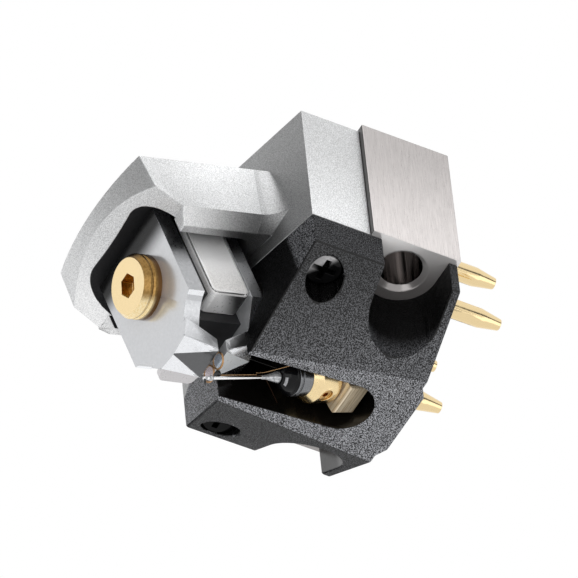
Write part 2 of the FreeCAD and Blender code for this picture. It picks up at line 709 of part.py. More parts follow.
def yoke_pole(body, name, root, tip):
    """Loft from the plate's foot to the tip; the keel opens into the flat under the tip."""
    first = polygon(body, name + "PoleRoot", "XZ", (
        ("pole_root_half", "-pole_root_top"), ("-pole_root_half", "-pole_root_top"),
        ("-pole_side_half", "-pole_side_foot"), ("-pole_keel_half", "-pole_keel_foot"),
        ("pole_keel_half", "-pole_keel_foot"), ("pole_side_half", "-pole_side_foot")), lift=root)
    last = polygon(body, name + "PoleTip", "XZ", (
        ("pole_tip_top_half", "-pole_tip_top"), ("-pole_tip_top_half", "-pole_tip_top"),
        ("-pole_tip_side_half", "-pole_tip_side"), ("-pole_tip_half", "-pole_tip_foot"),
        ("pole_tip_half", "-pole_tip_foot"), ("pole_tip_side_half", "-pole_tip_side")), lift=tip)
    loft = body.newObject("PartDesign::AdditiveLoft", name + "Pole")
    loft.Profile = first
    loft.Sections = [last]
    loft.Ruled = True
    doc.recompute()
    relief = circles(body, name + "Relief", "XY", (("0", "-pole_gap_centre", "coil_relief"),),
                     turn="generator_tilt", lift="-relief_deep")
    pocket(body, name + "ReliefCut", relief, "relief_tall", back=True)


def make_yokes():
    front = new_body("front_yoke", "generator_tilt")
    yoke_plate(front, "FrontYoke", "front_yoke_front", "front_yoke_thick", True,
               {3: "-yoke_scoop", 5: "-yoke_scoop"})
    yoke_pole(front, "FrontYoke", "front_yoke_front", "front_pole_end")
    hole = circles(front, "YokeHole", "XZ", (("0", "-yoke_screw_level", "yoke_screw_hole"),),
                   lift="front_yoke_front")
    pocket(front, "YokeHoleCut", hole, "front_yoke_thick")
    rear = new_body("rear_yoke", "generator_tilt")
    yoke_plate(rear, "RearYoke", "rear_yoke_rear", "rear_yoke_thick", False)
    yoke_pole(rear, "RearYoke", "rear_yoke_rear", "rear_pole_end")


# Two magnets stand between the yokes, held apart by the black spacer.
def make_magnets():
    for sign, name in (("", "right"), ("-", "left")):
        body = new_body("magnet_" + name, "generator_tilt")
        face = box(body, "MagnetFace_" + name, "XZ", sign + "spacer_half", sign + "yoke_half",
                   "-magnet_foot", "-magnet_top", lift="rear_yoke_front")
        pad(body, "MagnetPad_" + name, face, "magnet_thick")
        dress(body, "Fillet", "MagnetRounds_" + name, edges_along_x(body.Tip.Shape), "magnet_round")
        outer = number("yoke_half")
        rim = edges_where(body.Tip.Shape, lambda p: abs(abs(p.x) - outer) < 1e-3)
        dress(body, "Chamfer", "MagnetEdges_" + name, rim, "magnet_edge")
    spacer = new_body("magnet_spacer", "generator_tilt")
    web = box(spacer, "SpacerWeb", "XZ", "-spacer_half", "spacer_half", "-spacer_foot",
              "-cavity_top", lift="rear_yoke_front")
    pad(spacer, "SpacerWebPad", web, "spacer_thick")
    flange = box(spacer, "SpacerFlange", "XZ", "-flange_half", "flange_half", "-flange_foot",
                 "-magnet_top", lift="magnet_front")
    pad(spacer, "SpacerFlangePad", flange, "flange_thick")
    bore = circles(spacer, "SpacerBore", "XZ", (("0", "-yoke_screw_level", "yoke_screw_shank"),),
                   lift="front_yoke_rear")
    pocket(spacer, "SpacerBoreCut", bore, "yoke_screw_bore_deep")


def edges_along_x(shape):
    names = []
    for index, edge in enumerate(shape.Edges, 1):
        span = edge.valueAt(edge.LastParameter) - edge.valueAt(edge.FirstParameter)
        if abs(span.y) < 1e-6 and abs(span.z) < 1e-6:
            names.append("Edge%d" % index)
    return names


# The gold screw draws the front yoke, the spacer and the magnets together.
def make_yoke_screw():
    body = new_body("yoke_screw", "generator_tilt", ("0", "yoke_screw_y", "-yoke_screw_z"))
    outline = polygon(body, "YokeScrewOutline", "YZ", (
        ("-yoke_screw_front", "0"), ("-yoke_screw_front", "yoke_screw_face"),
        ("-yoke_screw_brow", "yoke_screw_radius"), ("-yoke_screw_ring_a", "yoke_screw_radius"),
        ("-yoke_screw_ring_b", "yoke_screw_waist"), ("-yoke_screw_ring_c", "yoke_screw_radius"),
        ("-front_yoke_front", "yoke_screw_radius"), ("-front_yoke_front", "yoke_screw_shank"),
        ("-yoke_screw_end", "yoke_screw_shank"), ("-yoke_screw_end", "0")))
    revolve(body, "YokeScrewTurn", outline, "H_Axis")
    hexagon(body, "YokeSocket", "XZ", "yoke_screw_socket", "yoke_socket_half", "yoke_socket_rise",
            "yoke_screw_front", "yoke_screw_depth", False)


def hexagon(body, name, plane, radius, half, rise, lift, depth, back):
    """A six-sided socket round the origin of a plane."""
    sketch = polygon(body, name, plane, (
        (radius, "0"), (half, rise), ("-" + half, rise), ("-" + radius, "0"),
        ("-" + half, "-" + rise), (half, "-" + rise)), lift=lift)
    pocket(body, name + "Cut", sketch, depth, back=back)


PIVOT = ("0", "-pivot_y", "-pivot_z")


def ring(name, corners, arcs=None):
    """A turned piece on the rod's axis."""
    body = new_body(name, "rod_tilt", PIVOT)
    outline = polygon(body, name + "_outline", "YZ", corners, arcs=arcs)
    revolve(body, name + "_turn", outline, "H_Axis")
    return body


def rod(name, radius, lift, length, across="0", along="0"):
    """A straight round piece along the rod's axis."""
    body = new_body(name, "rod_tilt", PIVOT)
    sketch = circles(body, name + "_round", "XZ", ((across, along, radius),), lift=lift)
    pad(body, name + "_pad", sketch, length, back=True)
    return body


# The suspension runs back from the rod: sleeve, rubber, washer, barrel and the block in its seat.
def make_suspension():
    ring("joint_sleeve", (
        ("-sleeve_front", "rod_radius"), ("-sleeve_front", "sleeve_nose"),
        ("-sleeve_middle", "sleeve_waist"), ("-sleeve_rear", "sleeve_tail"),
        ("-sleeve_rear", "sleeve_bore"), ("-rod_rear", "sleeve_bore"), ("-rod_rear", "rod_radius")))
    ring("joint_pipe", (
        ("-pipe_front", "pipe_bore"), ("-pipe_front", "pipe_radius"),
        ("-pipe_rear", "pipe_radius"), ("-pipe_rear", "pipe_bore")))
    rod("suspension_wire", "wire_radius", "wire_front", "wire_length")
    ring("damper", (
        ("-damper_front", "damper_bore"), ("-damper_front", "damper_nose"),
        ("damper_shoulder", "damper_radius"), ("damper_shoulder", "damper_ridge"),
        ("damper_rear", "damper_ridge"), ("damper_rear", "damper_bore")),
        arcs={1: "-damper_round"})
    ring("damper_washer", (
        ("washer_front", "damper_bore"), ("washer_front", "washer_radius"),
        ("washer_step", "washer_radius"), ("washer_step", "washer_waist"),
        ("washer_body", "washer_waist"), ("washer_body", "washer_radius"),
        ("washer_rear", "washer_radius"), ("washer_rear", "damper_bore")))
    barrel = ring("suspension_barrel", (
        ("washer_rear", "wire_hole"), ("washer_rear", "washer_radius"),
        ("barrel_full", "barrel_radius"), ("barrel_rear", "barrel_radius"), ("barrel_rear", "neck_radius"),
        ("neck_rear", "neck_radius"), ("neck_rear", "wire_hole")))
    hole = circles(barrel, "SetScrewHole", "XY", (("0", "set_screw_place", "set_screw_hole"),))
    pocket(barrel, "SetScrewHoleCut", hole, "far")
    screw = new_body("barrel_set_screw", "rod_tilt", ("0", "-set_screw_y", "-set_screw_z"))
    shank = circles(screw, "SetScrewRound", "XY", (("0", "0", "set_screw_radius"),),
                    lift="-set_screw_face")
    pad(screw, "SetScrewPad", shank, "set_screw_tall")
    hexagon(screw, "SetSocket", "XY", "set_screw_socket", "set_socket_half", "set_socket_rise",
            "-set_screw_face", "set_screw_depth", True)
    block = new_body("suspension_block", "rod_tilt", PIVOT)
    face = box(block, "BlockFace", "XZ", "-block_half", "block_half", "-block_drop", "block_rise",
               lift="-neck_rear")
    pad(block, "BlockPad", face, "block_length", back=True)
    low = -number("block_drop")
    edges = edges_where(block.Tip.Shape, lambda p: abs(p.z - low) < 1e-3)
    dress(block, "Chamfer", "BlockBevel", edges, "block_bevel")


# The moving system: rod, diamond, the two coil rings with their films, and their leads.
def make_moving_system():
    rod("cantilever", "rod_radius", "rod_front", "rod_length")
    stylus = new_body("stylus", spot=("0", "-stylus_y", "-stylus_z"))
    outline = polygon(stylus, "StylusOutline", "YZ", (
        ("0", "-stylus_root"), ("stylus_half", "-stylus_root"), ("stylus_half", "-stylus_shank"),
        ("stylus_point", "-stylus_length"), ("0", "-stylus_length")))
    revolve(stylus, "StylusTurn", outline)
    for sign, name in (("", "right"), ("-", "left")):
        coil = new_body("coil_" + name, "generator_tilt")
        round_ = circles(coil, "CoilRound_" + name, "XZ", (
            (sign + "coil_x", "-coil_level", "coil_radius"),
            (sign + "coil_x", "-coil_level", "coil_bore")), lift="coil_front")
        pad(coil, "CoilPad_" + name, round_, "coil_thick", back=True)
        film = new_body("coil_former_" + name, "generator_tilt")
        disc = circles(film, "FilmRound_" + name, "XZ", (
            (sign + "coil_x", "-coil_level", "film_radius"),), lift="film_front")
        pad(film, "FilmPad_" + name, disc, "film_thick", back=True)
        rod("coil_lead_" + name, "lead_radius", "lead_front", "lead_length",
            sign + "lead_side", "lead_level")
        make_tail(sign, name)
    carrier = new_body("coil_carrier", "generator_tilt")
    face = box(carrier, "CarrierFace", "XZ", "-carrier_half", "carrier_half", "-carrier_foot",
               "-carrier_top", lift="carrier_front")
    pad(carrier, "CarrierPad", face, "carrier_thick", back=True)
    rounds = circles(carrier, "CarrierSeats", "XZ", (
        ("coil_x", "-coil_level", "carrier_cut"), ("-coil_x", "-coil_level", "carrier_cut")),
        lift="carrier_front")
    pocket(carrier, "CarrierSeatCut", rounds, "carrier_thick")


def make_tail(sign, name):
    """The end of a lead, from the rod out to the slot wall."""
    body = new_body("lead_tail_" + name, "rod_tilt", (sign + "tail_side", "-tail_y", "-tail_z"))
    path = new_sketch(body, "TailPath_" + name, "XY", turn=sign + "tail_roll", about=(0, 1, 0))
    corners = (("0", "-tail_start"), ("0", "-%s_turn" % name),
               ("%s%s_out" % (sign, name), "-%s_out_y" % name),
               (sign + "tail_reach", "-%s_end_y" % name))
    spots = [FreeCAD.Vector(number(a), number(b), 0) for a, b in corners]
    path.addGeometry(Part.LineSegment(spots[0], spots[1]), False)
    bend = name + "_bend"
    item, ends = add_arc(path, spots[1], spots[2], "-" + bend if sign == "" else bend)
    path.addGeometry(Part.LineSegment(spots[2], spots[3]), False)
    path.addConstraint(Sketcher.Constraint("Coincident", 0, 2, item, ends[0]))
    path.addConstraint(Sketcher.Constraint("Coincident", item, ends[1], 2, 1))
    locate(path, 0, 1, *corners[0])
    locate(path, 0, 2, *corners[1])
    locate(path, 2, 1, *corners[2])
    locate(path, 2, 2, *corners[3])
    place = path.addConstraint(Sketcher.Constraint("Radius", item, number(bend)))
    path.setExpression("Constraints[%d]" % place, bound(bend))
    section = polygon(body, "TailSection_" + name, "XZ", (
        ("lead_radius", "0"), ("lead_flat", "lead_flat"), ("0", "lead_radius"),
        ("-lead_flat", "lead_flat"), ("-lead_radius", "0"), ("-lead_flat", "-lead_flat"),
        ("0", "-lead_radius"), ("lead_flat", "-lead_flat")), lift="tail_start")
    pipe = body.newObject("PartDesign::AdditivePipe", "TailPipe_" + name)
    pipe.Profile = section
    pipe.Spine = path
    doc.recompute()


# The four terminal pins stand in an insulating plate let into the block's rear face.
def make_terminals():
    plate = new_body("terminal_plate")
    face = box(plate, "PlateFace", "XZ", "-plate_half", "plate_half", "-plate_bottom", "-plate_top",
               lift="-plate_rear")
    pad(plate, "PlatePad", face, "plate_thick")
    places = (("", "upper"), ("-", "upper"), ("", "lower"), ("-", "lower"))
    for index, (sign, row) in enumerate(places, 1):
        hole = box(plate, "PinHole_%d" % index, "XZ", sign + "pin_inner", sign + "pin_outer",
                   "-" + row + "_floor", "-" + row + "_roof", lift="-plate_rear")
        pocket(plate, "PinHoleCut_%d" % index, hole, "plate_thick", back=True)
        body = new_body("terminal_pin_%d" % index, spot=(sign + "pin_x", "0", "-pin_" + row))
        outline = polygon(body, "PinOutline_%d" % index, "YZ", (
            ("plate_rear", "0"), ("plate_rear", "pin_radius"), ("pin_shoulder", "pin_radius"),
            ("pin_end", "pin_tip_radius"), ("pin_end", "0")))
        revolve(body, "PinTurn_%d" % index, outline, "H_Axis")
        root = box(body, "PinRoot_%d" % index, "XZ", "-pin_root", "pin_root", "-pin_root", "pin_root",
                   lift="-plate_rear")
        pad(body, "PinRootPad_%d" % index, root, "plate_thick")


def write_parts():
    """Check every object and write one file for each sub-part."""
    doc.recompute()
    for item in doc.Objects:
        if "Invalid" in item.State or "Error" in item.State:
            raise RuntimeError("%s failed: %s" % (item.Name, item.State))
    bodies = [item for item in doc.Objects if item.TypeId == "PartDesign::Body"]
    for body in bodies:
        if body.Shape.isNull() or not body.Shape.isValid() or len(body.Shape.Solids) != 1:
            raise RuntimeError("%s has %d solids" % (body.Label, len(body.Shape.Solids)))
    os.makedirs("parts", exist_ok=True)
    for body in bodies:
        body.Shape.exportStep("parts/%s.step" % body.Label)
        box = body.Shape.BoundBox
        print("%-20s %9.4f  x %.2f %.2f  y %.2f %.2f  z %.2f %.2f" % (
            body.Label, body.Shape.Volume, box.XMin, box.XMax, box.YMin, box.YMax, box.ZMin, box.ZMax))


fill_sheet()
make_mount_block()
make_front_housing()
make_lower_housing()
make_housing_screws()
make_yokes()
make_magnets()
make_yoke_screw()
make_suspension()
make_moving_system()
make_terminals()
write_parts()
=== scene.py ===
import math

import bmesh
import bpy
from mathutils import Matrix, Vector


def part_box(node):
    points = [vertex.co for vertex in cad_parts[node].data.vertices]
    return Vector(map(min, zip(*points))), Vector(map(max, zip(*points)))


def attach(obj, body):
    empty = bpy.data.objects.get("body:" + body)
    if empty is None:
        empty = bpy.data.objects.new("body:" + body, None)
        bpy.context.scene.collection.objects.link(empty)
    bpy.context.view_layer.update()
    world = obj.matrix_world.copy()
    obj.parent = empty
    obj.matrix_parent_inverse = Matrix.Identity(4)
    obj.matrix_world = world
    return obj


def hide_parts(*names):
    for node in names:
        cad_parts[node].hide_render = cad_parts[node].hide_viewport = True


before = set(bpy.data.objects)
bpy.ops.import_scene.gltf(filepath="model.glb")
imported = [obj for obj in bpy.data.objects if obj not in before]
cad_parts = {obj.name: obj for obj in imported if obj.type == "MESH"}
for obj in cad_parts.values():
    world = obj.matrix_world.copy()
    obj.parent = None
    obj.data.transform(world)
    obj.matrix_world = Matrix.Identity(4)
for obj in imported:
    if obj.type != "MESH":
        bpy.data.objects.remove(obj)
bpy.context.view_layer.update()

bl_info = {
    "name": "Turntable stylus cartridge",
    "version": (1, 0, 0),
    "blender": (4, 5, 0),
    "location": "3D View > Sidebar > Cartridge",
    "description": "Dresses the packed cartridge: soft edges, metals, coils, rod and stage",
    "category": "Object",
}

MM = 0.001

# Edges that turn by more degrees than this are sharp
SHARP = 34.0

# A face whose normal has this much of an axis stands square to it
SQUARE = 0.9

# Ways along which the painted light and shade of the finishes change. The last two follow the tilt
# of the generator.
DOWN = (0.0, 0.0, -1.0)
DOWN_AND_BACK = (0.0, 0.3, -1.0)
REAR = (0.0, 1.0, 0.0)
FAR_SIDE = (-1.0, 0.0, 0.0)
PLATE_DOWN = (0.0, 0.309, -0.951)
PLATE_REAR = (0.0, 0.951, 0.309)

# Places in millimetres of the mounting screws and of the pockets for the housing screws
SCREW_X = 6.35
POCKET_X, POCKET_Y = 6.52, -5.53

# Coils: radius of the outermost turns in millimetres, how many turns lie one inside the other,
# where the turns lie across the ring, and the steps inwards and across in wire radii
COIL_RADIUS, COIL_ROWS, COIL_COLUMNS = 0.53, 3, (-0.5, 0.5)
COIL_STEP_IN, COIL_STEP_ACROSS = 1.75, 1.9

# The camera's own right, up and backward directions
VIEW_RIGHT = Vector((0.47171642, 0.87900183, -0.06956575))
VIEW_UP = Vector((0.68022729, -0.31257183, 0.6630156))
VIEW_BACK = Vector((0.56104763, -0.36007587, -0.7453663))

# Soft dark flags in the white surroundings that the metal mirrors: right, up and towards the
# camera, then the cosines of their edge and core, and how dim the core is
FLAGS = (
    (-0.79, 0.573, -0.217, 0.885, 0.955, 0.06),
    (0.93, 0.22, 0.30, 0.93, 0.985, 0.10),
    (0.25, -0.15, 0.95, 0.62, 0.90, 0.10),
)

# Area lamps: name, place to the right, up and towards the camera, width, height and watts
SOFTBOXES = (
    ("Top softbox", (0.05, 0.26, -0.12), 0.22, 0.22, 0.16),
    ("Front softbox", (-0.10, 0.06, 0.30), 0.24, 0.24, 0.14),
    ("Right softbox", (0.26, -0.04, 0.12), 0.12, 0.26, 0.06),
)
LAMP_AIM = Vector((0.0, -0.005, -0.008))


# Sizes and colours that a user would change
class CartridgeSizes(bpy.types.PropertyGroup):
    """Sizes of the dressed pieces"""
    metal_edge: bpy.props.FloatProperty(
        name="Metal edge", description="Width of the broken edges of the two metal bodies",
        default=0.07 * MM, unit="LENGTH", precision=6)
    resin_edge: bpy.props.FloatProperty(
        name="Resin edge", description="Width of the rounded edges of the black body",
        default=0.08 * MM, unit="LENGTH", precision=6)
    small_edge: bpy.props.FloatProperty(
        name="Small edge", description="Width of the broken edges of the small metal pieces",
        default=0.03 * MM, unit="LENGTH", precision=6)
    magnet_edge: bpy.props.FloatProperty(
        name="Magnet edge", description="Width of the bright rounded edges of the magnets",
        default=0.09 * MM, unit="LENGTH", precision=6)
    belly_edge: bpy.props.FloatProperty(
        name="Belly edge", description="Width of the dark edges round the black body's belly",
        default=0.07 * MM, unit="LENGTH", precision=6)
    generator_tilt: bpy.props.FloatProperty(
        name="Generator tilt", description="Tilt of the yokes, magnets and coils about X",
        default=math.radians(18.0), subtype="ANGLE")
    rod_tilt: bpy.props.FloatProperty(
        name="Rod tilt", description="Tilt of the rod and its suspension about X",
        default=math.radians(25.6), subtype="ANGLE")
    pivot: bpy.props.FloatVectorProperty(
        name="Flexing point", description="Point of the suspension wire where the rod turns",
        default=(0.0, -4.87 * MM, -14.83 * MM), subtype="TRANSLATION", precision=6)
    rod_radius: bpy.props.FloatProperty(
        name="Rod radius", description="Radius of the cantilever rod",
        default=0.1 * MM, unit="LENGTH", precision=6)
    nose_root: bpy.props.FloatProperty(
        name="Nose root", description="Radius of the corner where the nose leaves the body",
        default=1.1 * MM, unit="LENGTH", precision=6)
    coil_wire: bpy.props.FloatProperty(
        name="Coil wire", description="Radius of the wire that the coils are wound from",
        default=0.02 * MM, unit="LENGTH", precision=6)


class CartridgeColours(bpy.types.PropertyGroup):
    """Colours of the finishes"""
    titanium: bpy.props.FloatVectorProperty(
        name="Titanium", description="Brushed mounting block",
        default=(0.56, 0.53, 0.52, 1.0), subtype="COLOR", size=4, min=0.0, max=1.0)
    aluminium: bpy.props.FloatVectorProperty(
        name="Aluminium", description="Blasted front body",
        default=(0.66, 0.665, 0.67, 1.0), subtype="COLOR", size=4, min=0.0, max=1.0)
    resin: bpy.props.FloatVectorProperty(
        name="Resin", description="Black lower body between its pale specks",
        default=(0.004, 0.0042, 0.0048, 1.0), subtype="COLOR", size=4, min=0.0, max=1.0)
    resin_speck: bpy.props.FloatVectorProperty(
        name="Resin specks", description="Pale specks in the black lower body",
        default=(0.30, 0.305, 0.325, 1.0), subtype="COLOR", size=4, min=0.0, max=1.0)
    gold: bpy.props.FloatVectorProperty(
        name="Gold", description="Gold plate of the screw, barrel and pins",
        default=(0.94, 0.74, 0.42, 1.0), subtype="COLOR", size=4, min=0.0, max=1.0)
    yoke: bpy.props.FloatVectorProperty(
        name="Yoke plate", description="Smooth plate of the yokes",
        default=(0.70, 0.71, 0.73, 1.0), subtype="COLOR", size=4, min=0.0, max=1.0)
    magnet: bpy.props.FloatVectorProperty(
        name="Magnet plate", description="Bright plate of the magnets",
        default=(0.80, 0.79, 0.775, 1.0), subtype="COLOR", size=4, min=0.0, max=1.0)
    copper: bpy.props.FloatVectorProperty(
        name="Copper", description="Enamelled wire of the coils and leads",
        default=(0.52, 0.32, 0.16, 1.0), subtype="COLOR", size=4, min=0.0, max=1.0)
    black: bpy.props.FloatVectorProperty(
        name="Black", description="Screws, spacer, carrier, terminal plate and diamond",
        default=(0.012, 0.012, 0.013, 1.0), subtype="COLOR", size=4, min=0.0, max=1.0)


class CartridgeStage(bpy.types.PropertyGroup):
    """Camera and light"""
    camera_place: bpy.props.FloatVectorProperty(
        name="Camera place", description="Where the camera stands",
        default=(0.305513, -0.199965, -0.412427), subtype="TRANSLATION", precision=5)
    lens: bpy.props.FloatProperty(
        name="Lens", description="Focal length in millimetres on a 36 mm sensor",
        default=568.7, min=1.0)
    fill: bpy.props.FloatProperty(
        name="Fill", description="Strength of the soft light from all round",
        default=0.62, min=0.0)
    floor_level: bpy.props.FloatProperty(
        name="Floor level", description="Height of the pale floor",
        default=-0.7, unit="LENGTH")


def settings_of(context):
    """The sizes and the colours that are set in the scene."""
    return context.scene.cartridge_sizes, context.scene.cartridge_colours


# Meshes
def piece_from(bm, name, material, nodes=(), body="cartridge_body"):
    """Make an object of a bmesh, smooth it, attach it to its body and hide the nodes that it stands
    for.
    """
    mesh = bpy.data.meshes.new(name)
    for face in bm.faces:
        face.smooth = True
    bm.to_mesh(mesh)
    bm.free()
    mesh.materials.append(material)
    piece = bpy.data.objects.new(name, mesh)
    bpy.context.scene.collection.objects.link(piece)
    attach(piece, body)
    if nodes:
        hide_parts(*nodes)
    return piece


def break_edges(piece, width, angle=SHARP):
    """Bevel the sharp edges, so that they catch the light."""
    bevel = piece.modifiers.new("Broken edges", "BEVEL")
    bevel.width = width
    bevel.segments = 2
    bevel.limit_method = "ANGLE"
    bevel.angle_limit = math.radians(angle)
    bevel.use_clamp_overlap = False
    bevel.harden_normals = True
    bevel.miter_outer = "MITER_ARC"


def merged_copy(node, angle=SHARP):
    """The node's mesh with its loose triangles joined and its flats made whole."""
    bm = bmesh.new()
    bm.from_mesh(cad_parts[node].data)
    bmesh.ops.remove_doubles(bm, verts=bm.verts, dist=1e-6)
    bmesh.ops.dissolve_limit(bm, angle_limit=math.radians(0.4), verts=bm.verts, edges=bm.edges)
    for edge in bm.edges:
        if len(edge.link_faces) == 2:
            edge.smooth = edge.calc_face_angle(0.0) < math.radians(angle)
    return bm


def soften(node, name, material, width, body="cartridge_body", angle=SHARP):
    """A finished copy of a node, with its sharp edges broken."""
    piece = piece_from(merged_copy(node, angle), name, material, (node,), body)
    break_edges(piece, width, angle)
    return piece


def turned(profile, steps):
    """Spin a profile of (place, radius) pairs round the Y axis."""
    bm = bmesh.new()
    spots = [bm.verts.new((0.0, place * MM, radius * MM)) for place, radius in profile]
    edges = [bm.edges.new(pair) for pair in zip(spots, spots[1:])]
    bmesh.ops.spin(bm, geom=spots + edges, cent=(0, 0, 0), axis=(0, 1, 0), angle=math.tau,
                   steps=steps, use_merge=True)
    bmesh.ops.remove_doubles(bm, verts=bm.verts, dist=1e-8)
    bmesh.ops.recalc_face_normals(bm, faces=bm.faces)
    return bm


def bevel_edges(bm, edges, width, segments, material=-1):
    bmesh.ops.bevel(bm, geom=edges, offset=width, offset_type="OFFSET", segments=segments,
                    profile=0.5, affect="EDGES", material=material)


def paint_where(piece, material, test, turn=Matrix.Identity(4)):
    """Give one more material to the faces whose middle and normal, in millimetres and turned
    into a frame of their own, pass a test."""
    piece.data.materials.append(material)
    index = len(piece.data.materials) - 1
    back = turn.inverted()
    for face in piece.data.polygons:
        if test(back @ face.center / MM, back.to_3x3() @ face.normal):
            face.material_index = index


def coat(node, material):
    """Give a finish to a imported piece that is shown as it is."""
    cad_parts[node].data.materials.clear()
    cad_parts[node].data.materials.append(material)


def place_mesh(bm, matrix):
    bmesh.ops.transform(bm, matrix=matrix, verts=bm.verts)
    return bm


def rod_frame():
    """Turns a piece made round the Y axis onto the rod, from the flexing point."""
    sizes = bpy.context.scene.cartridge_sizes
    return Matrix.Translation(sizes.pivot) @ Matrix.Rotation(sizes.rod_tilt, 4, "X")


def generator_frame():
    """Tilts a piece with the yokes and magnets."""
    return Matrix.Rotation(bpy.context.scene.cartridge_sizes.generator_tilt, 4, "X")


# Shared effects
def new_group(name, inputs, outputs):
    group = bpy.data.node_groups.new(name, "ShaderNodeTree")
    for label, kind, value in inputs:
        group.interface.new_socket(label, in_out="INPUT", socket_type=kind).default_value = value
    for label in outputs:
        group.interface.new_socket(label, in_out="OUTPUT", socket_type="NodeSocketFloat")
    return group, group.nodes.new("NodeGroupInput"), group.nodes.new("NodeGroupOutput")


def math_node(tree, operation, *operands):
    node = tree.nodes.new("ShaderNodeMath")
    node.operation = operation
    for socket, value in zip(node.inputs, operands):
        if isinstance(value, (int, float)):
            socket.default_value = value
        else:
            tree.links.new(value, socket)
    return node.outputs[0]


def along(tree, coords, way):
    """How far a coordinate lies along a direction."""
    node = tree.nodes.new("ShaderNodeVectorMath")
    node.operation = "DOT_PRODUCT"
    node.inputs[1].default_value = Vector(way).normalized()
    tree.links.new(coords, node.inputs[0])
    return node.outputs["Value"]


def map_range(tree, value, given, made, kind="LINEAR"):
    """Turn a value between two given limits into one between two others."""
    node = tree.nodes.new("ShaderNodeMapRange")
    node.interpolation_type = kind
    for label, limit in zip(("From Min", "From Max", "To Min", "To Max"), given + made):
        node.inputs[label].default_value = limit
    tree.links.new(value, node.inputs["Value"])
    return node.outputs[0]


def spread_noise(group, noise, sharpness, share):
    """Stretch a noise about its middle, and keep it between 0 and 1."""
    centred = math_node(group, "SUBTRACT", noise, 0.5)
    limit = group.nodes.new("ShaderNodeClamp")
    group.links.new(math_node(group, "MULTIPLY_ADD", centred, sharpness, share),
                    limit.inputs["Value"])
    return limit.outputs[0]


def grain_group():
    """Fine cast or blasted grain: a mask of specks and a height."""
    name = "Fine grain"
    if name in bpy.data.node_groups:
        return bpy.data.node_groups[name]
    group, given, made = new_group(name, (
        ("Vector", "NodeSocketVector", (0.0, 0.0, 0.0)),
        ("Grains per metre", "NodeSocketFloat", 12000.0),
        ("Sharpness", "NodeSocketFloat", 4.0),
        ("Share", "NodeSocketFloat", 0.5)), ("Specks", "Height"))
    fine = group.nodes.new("ShaderNodeTexNoise")
    fine.inputs["Detail"].default_value = 2.0
    fine.inputs["Roughness"].default_value = 0.6
    group.links.new(given.outputs["Vector"], fine.inputs["Vector"])
    group.links.new(given.outputs["Grains per metre"], fine.inputs["Scale"])
    specks = spread_noise(group, fine.outputs["Fac"], given.outputs["Sharpness"],
                          given.outputs["Share"])
    group.links.new(specks, made.inputs["Specks"])
    group.links.new(fine.outputs["Fac"], made.inputs["Height"])
    return group


def brush_group():
    """Brushed lines along the direction that is stretched least: a mask and a height."""
    name = "Brushed lines"
    if name in bpy.data.node_groups:
        return bpy.data.node_groups[name]
    group, given, made = new_group(name, (
        ("Vector", "NodeSocketVector", (0.0, 0.0, 0.0)),
        ("Stretch", "NodeSocketVector", (9000.0, 9000.0, 300.0)),
        ("Sharpness", "NodeSocketFloat", 2.0)), ("Lines", "Height"))
    scaled = group.nodes.new("ShaderNodeVectorMath")
    scaled.operation = "MULTIPLY"
    group.links.new(given.outputs["Vector"], scaled.inputs[0])
    group.links.new(given.outputs["Stretch"], scaled.inputs[1])
    lines = group.nodes.new("ShaderNodeTexNoise")
    lines.inputs["Scale"].default_value = 1.0
    lines.inputs["Detail"].default_value = 3.0
    lines.inputs["Roughness"].default_value = 0.65
    group.links.new(scaled.outputs[0], lines.inputs["Vector"])
    mask = spread_noise(group, lines.outputs["Fac"], given.outputs["Sharpness"], 0.5)
    group.links.new(mask, made.inputs["Lines"])
    group.links.new(lines.outputs["Fac"], made.inputs["Height"])
    return group


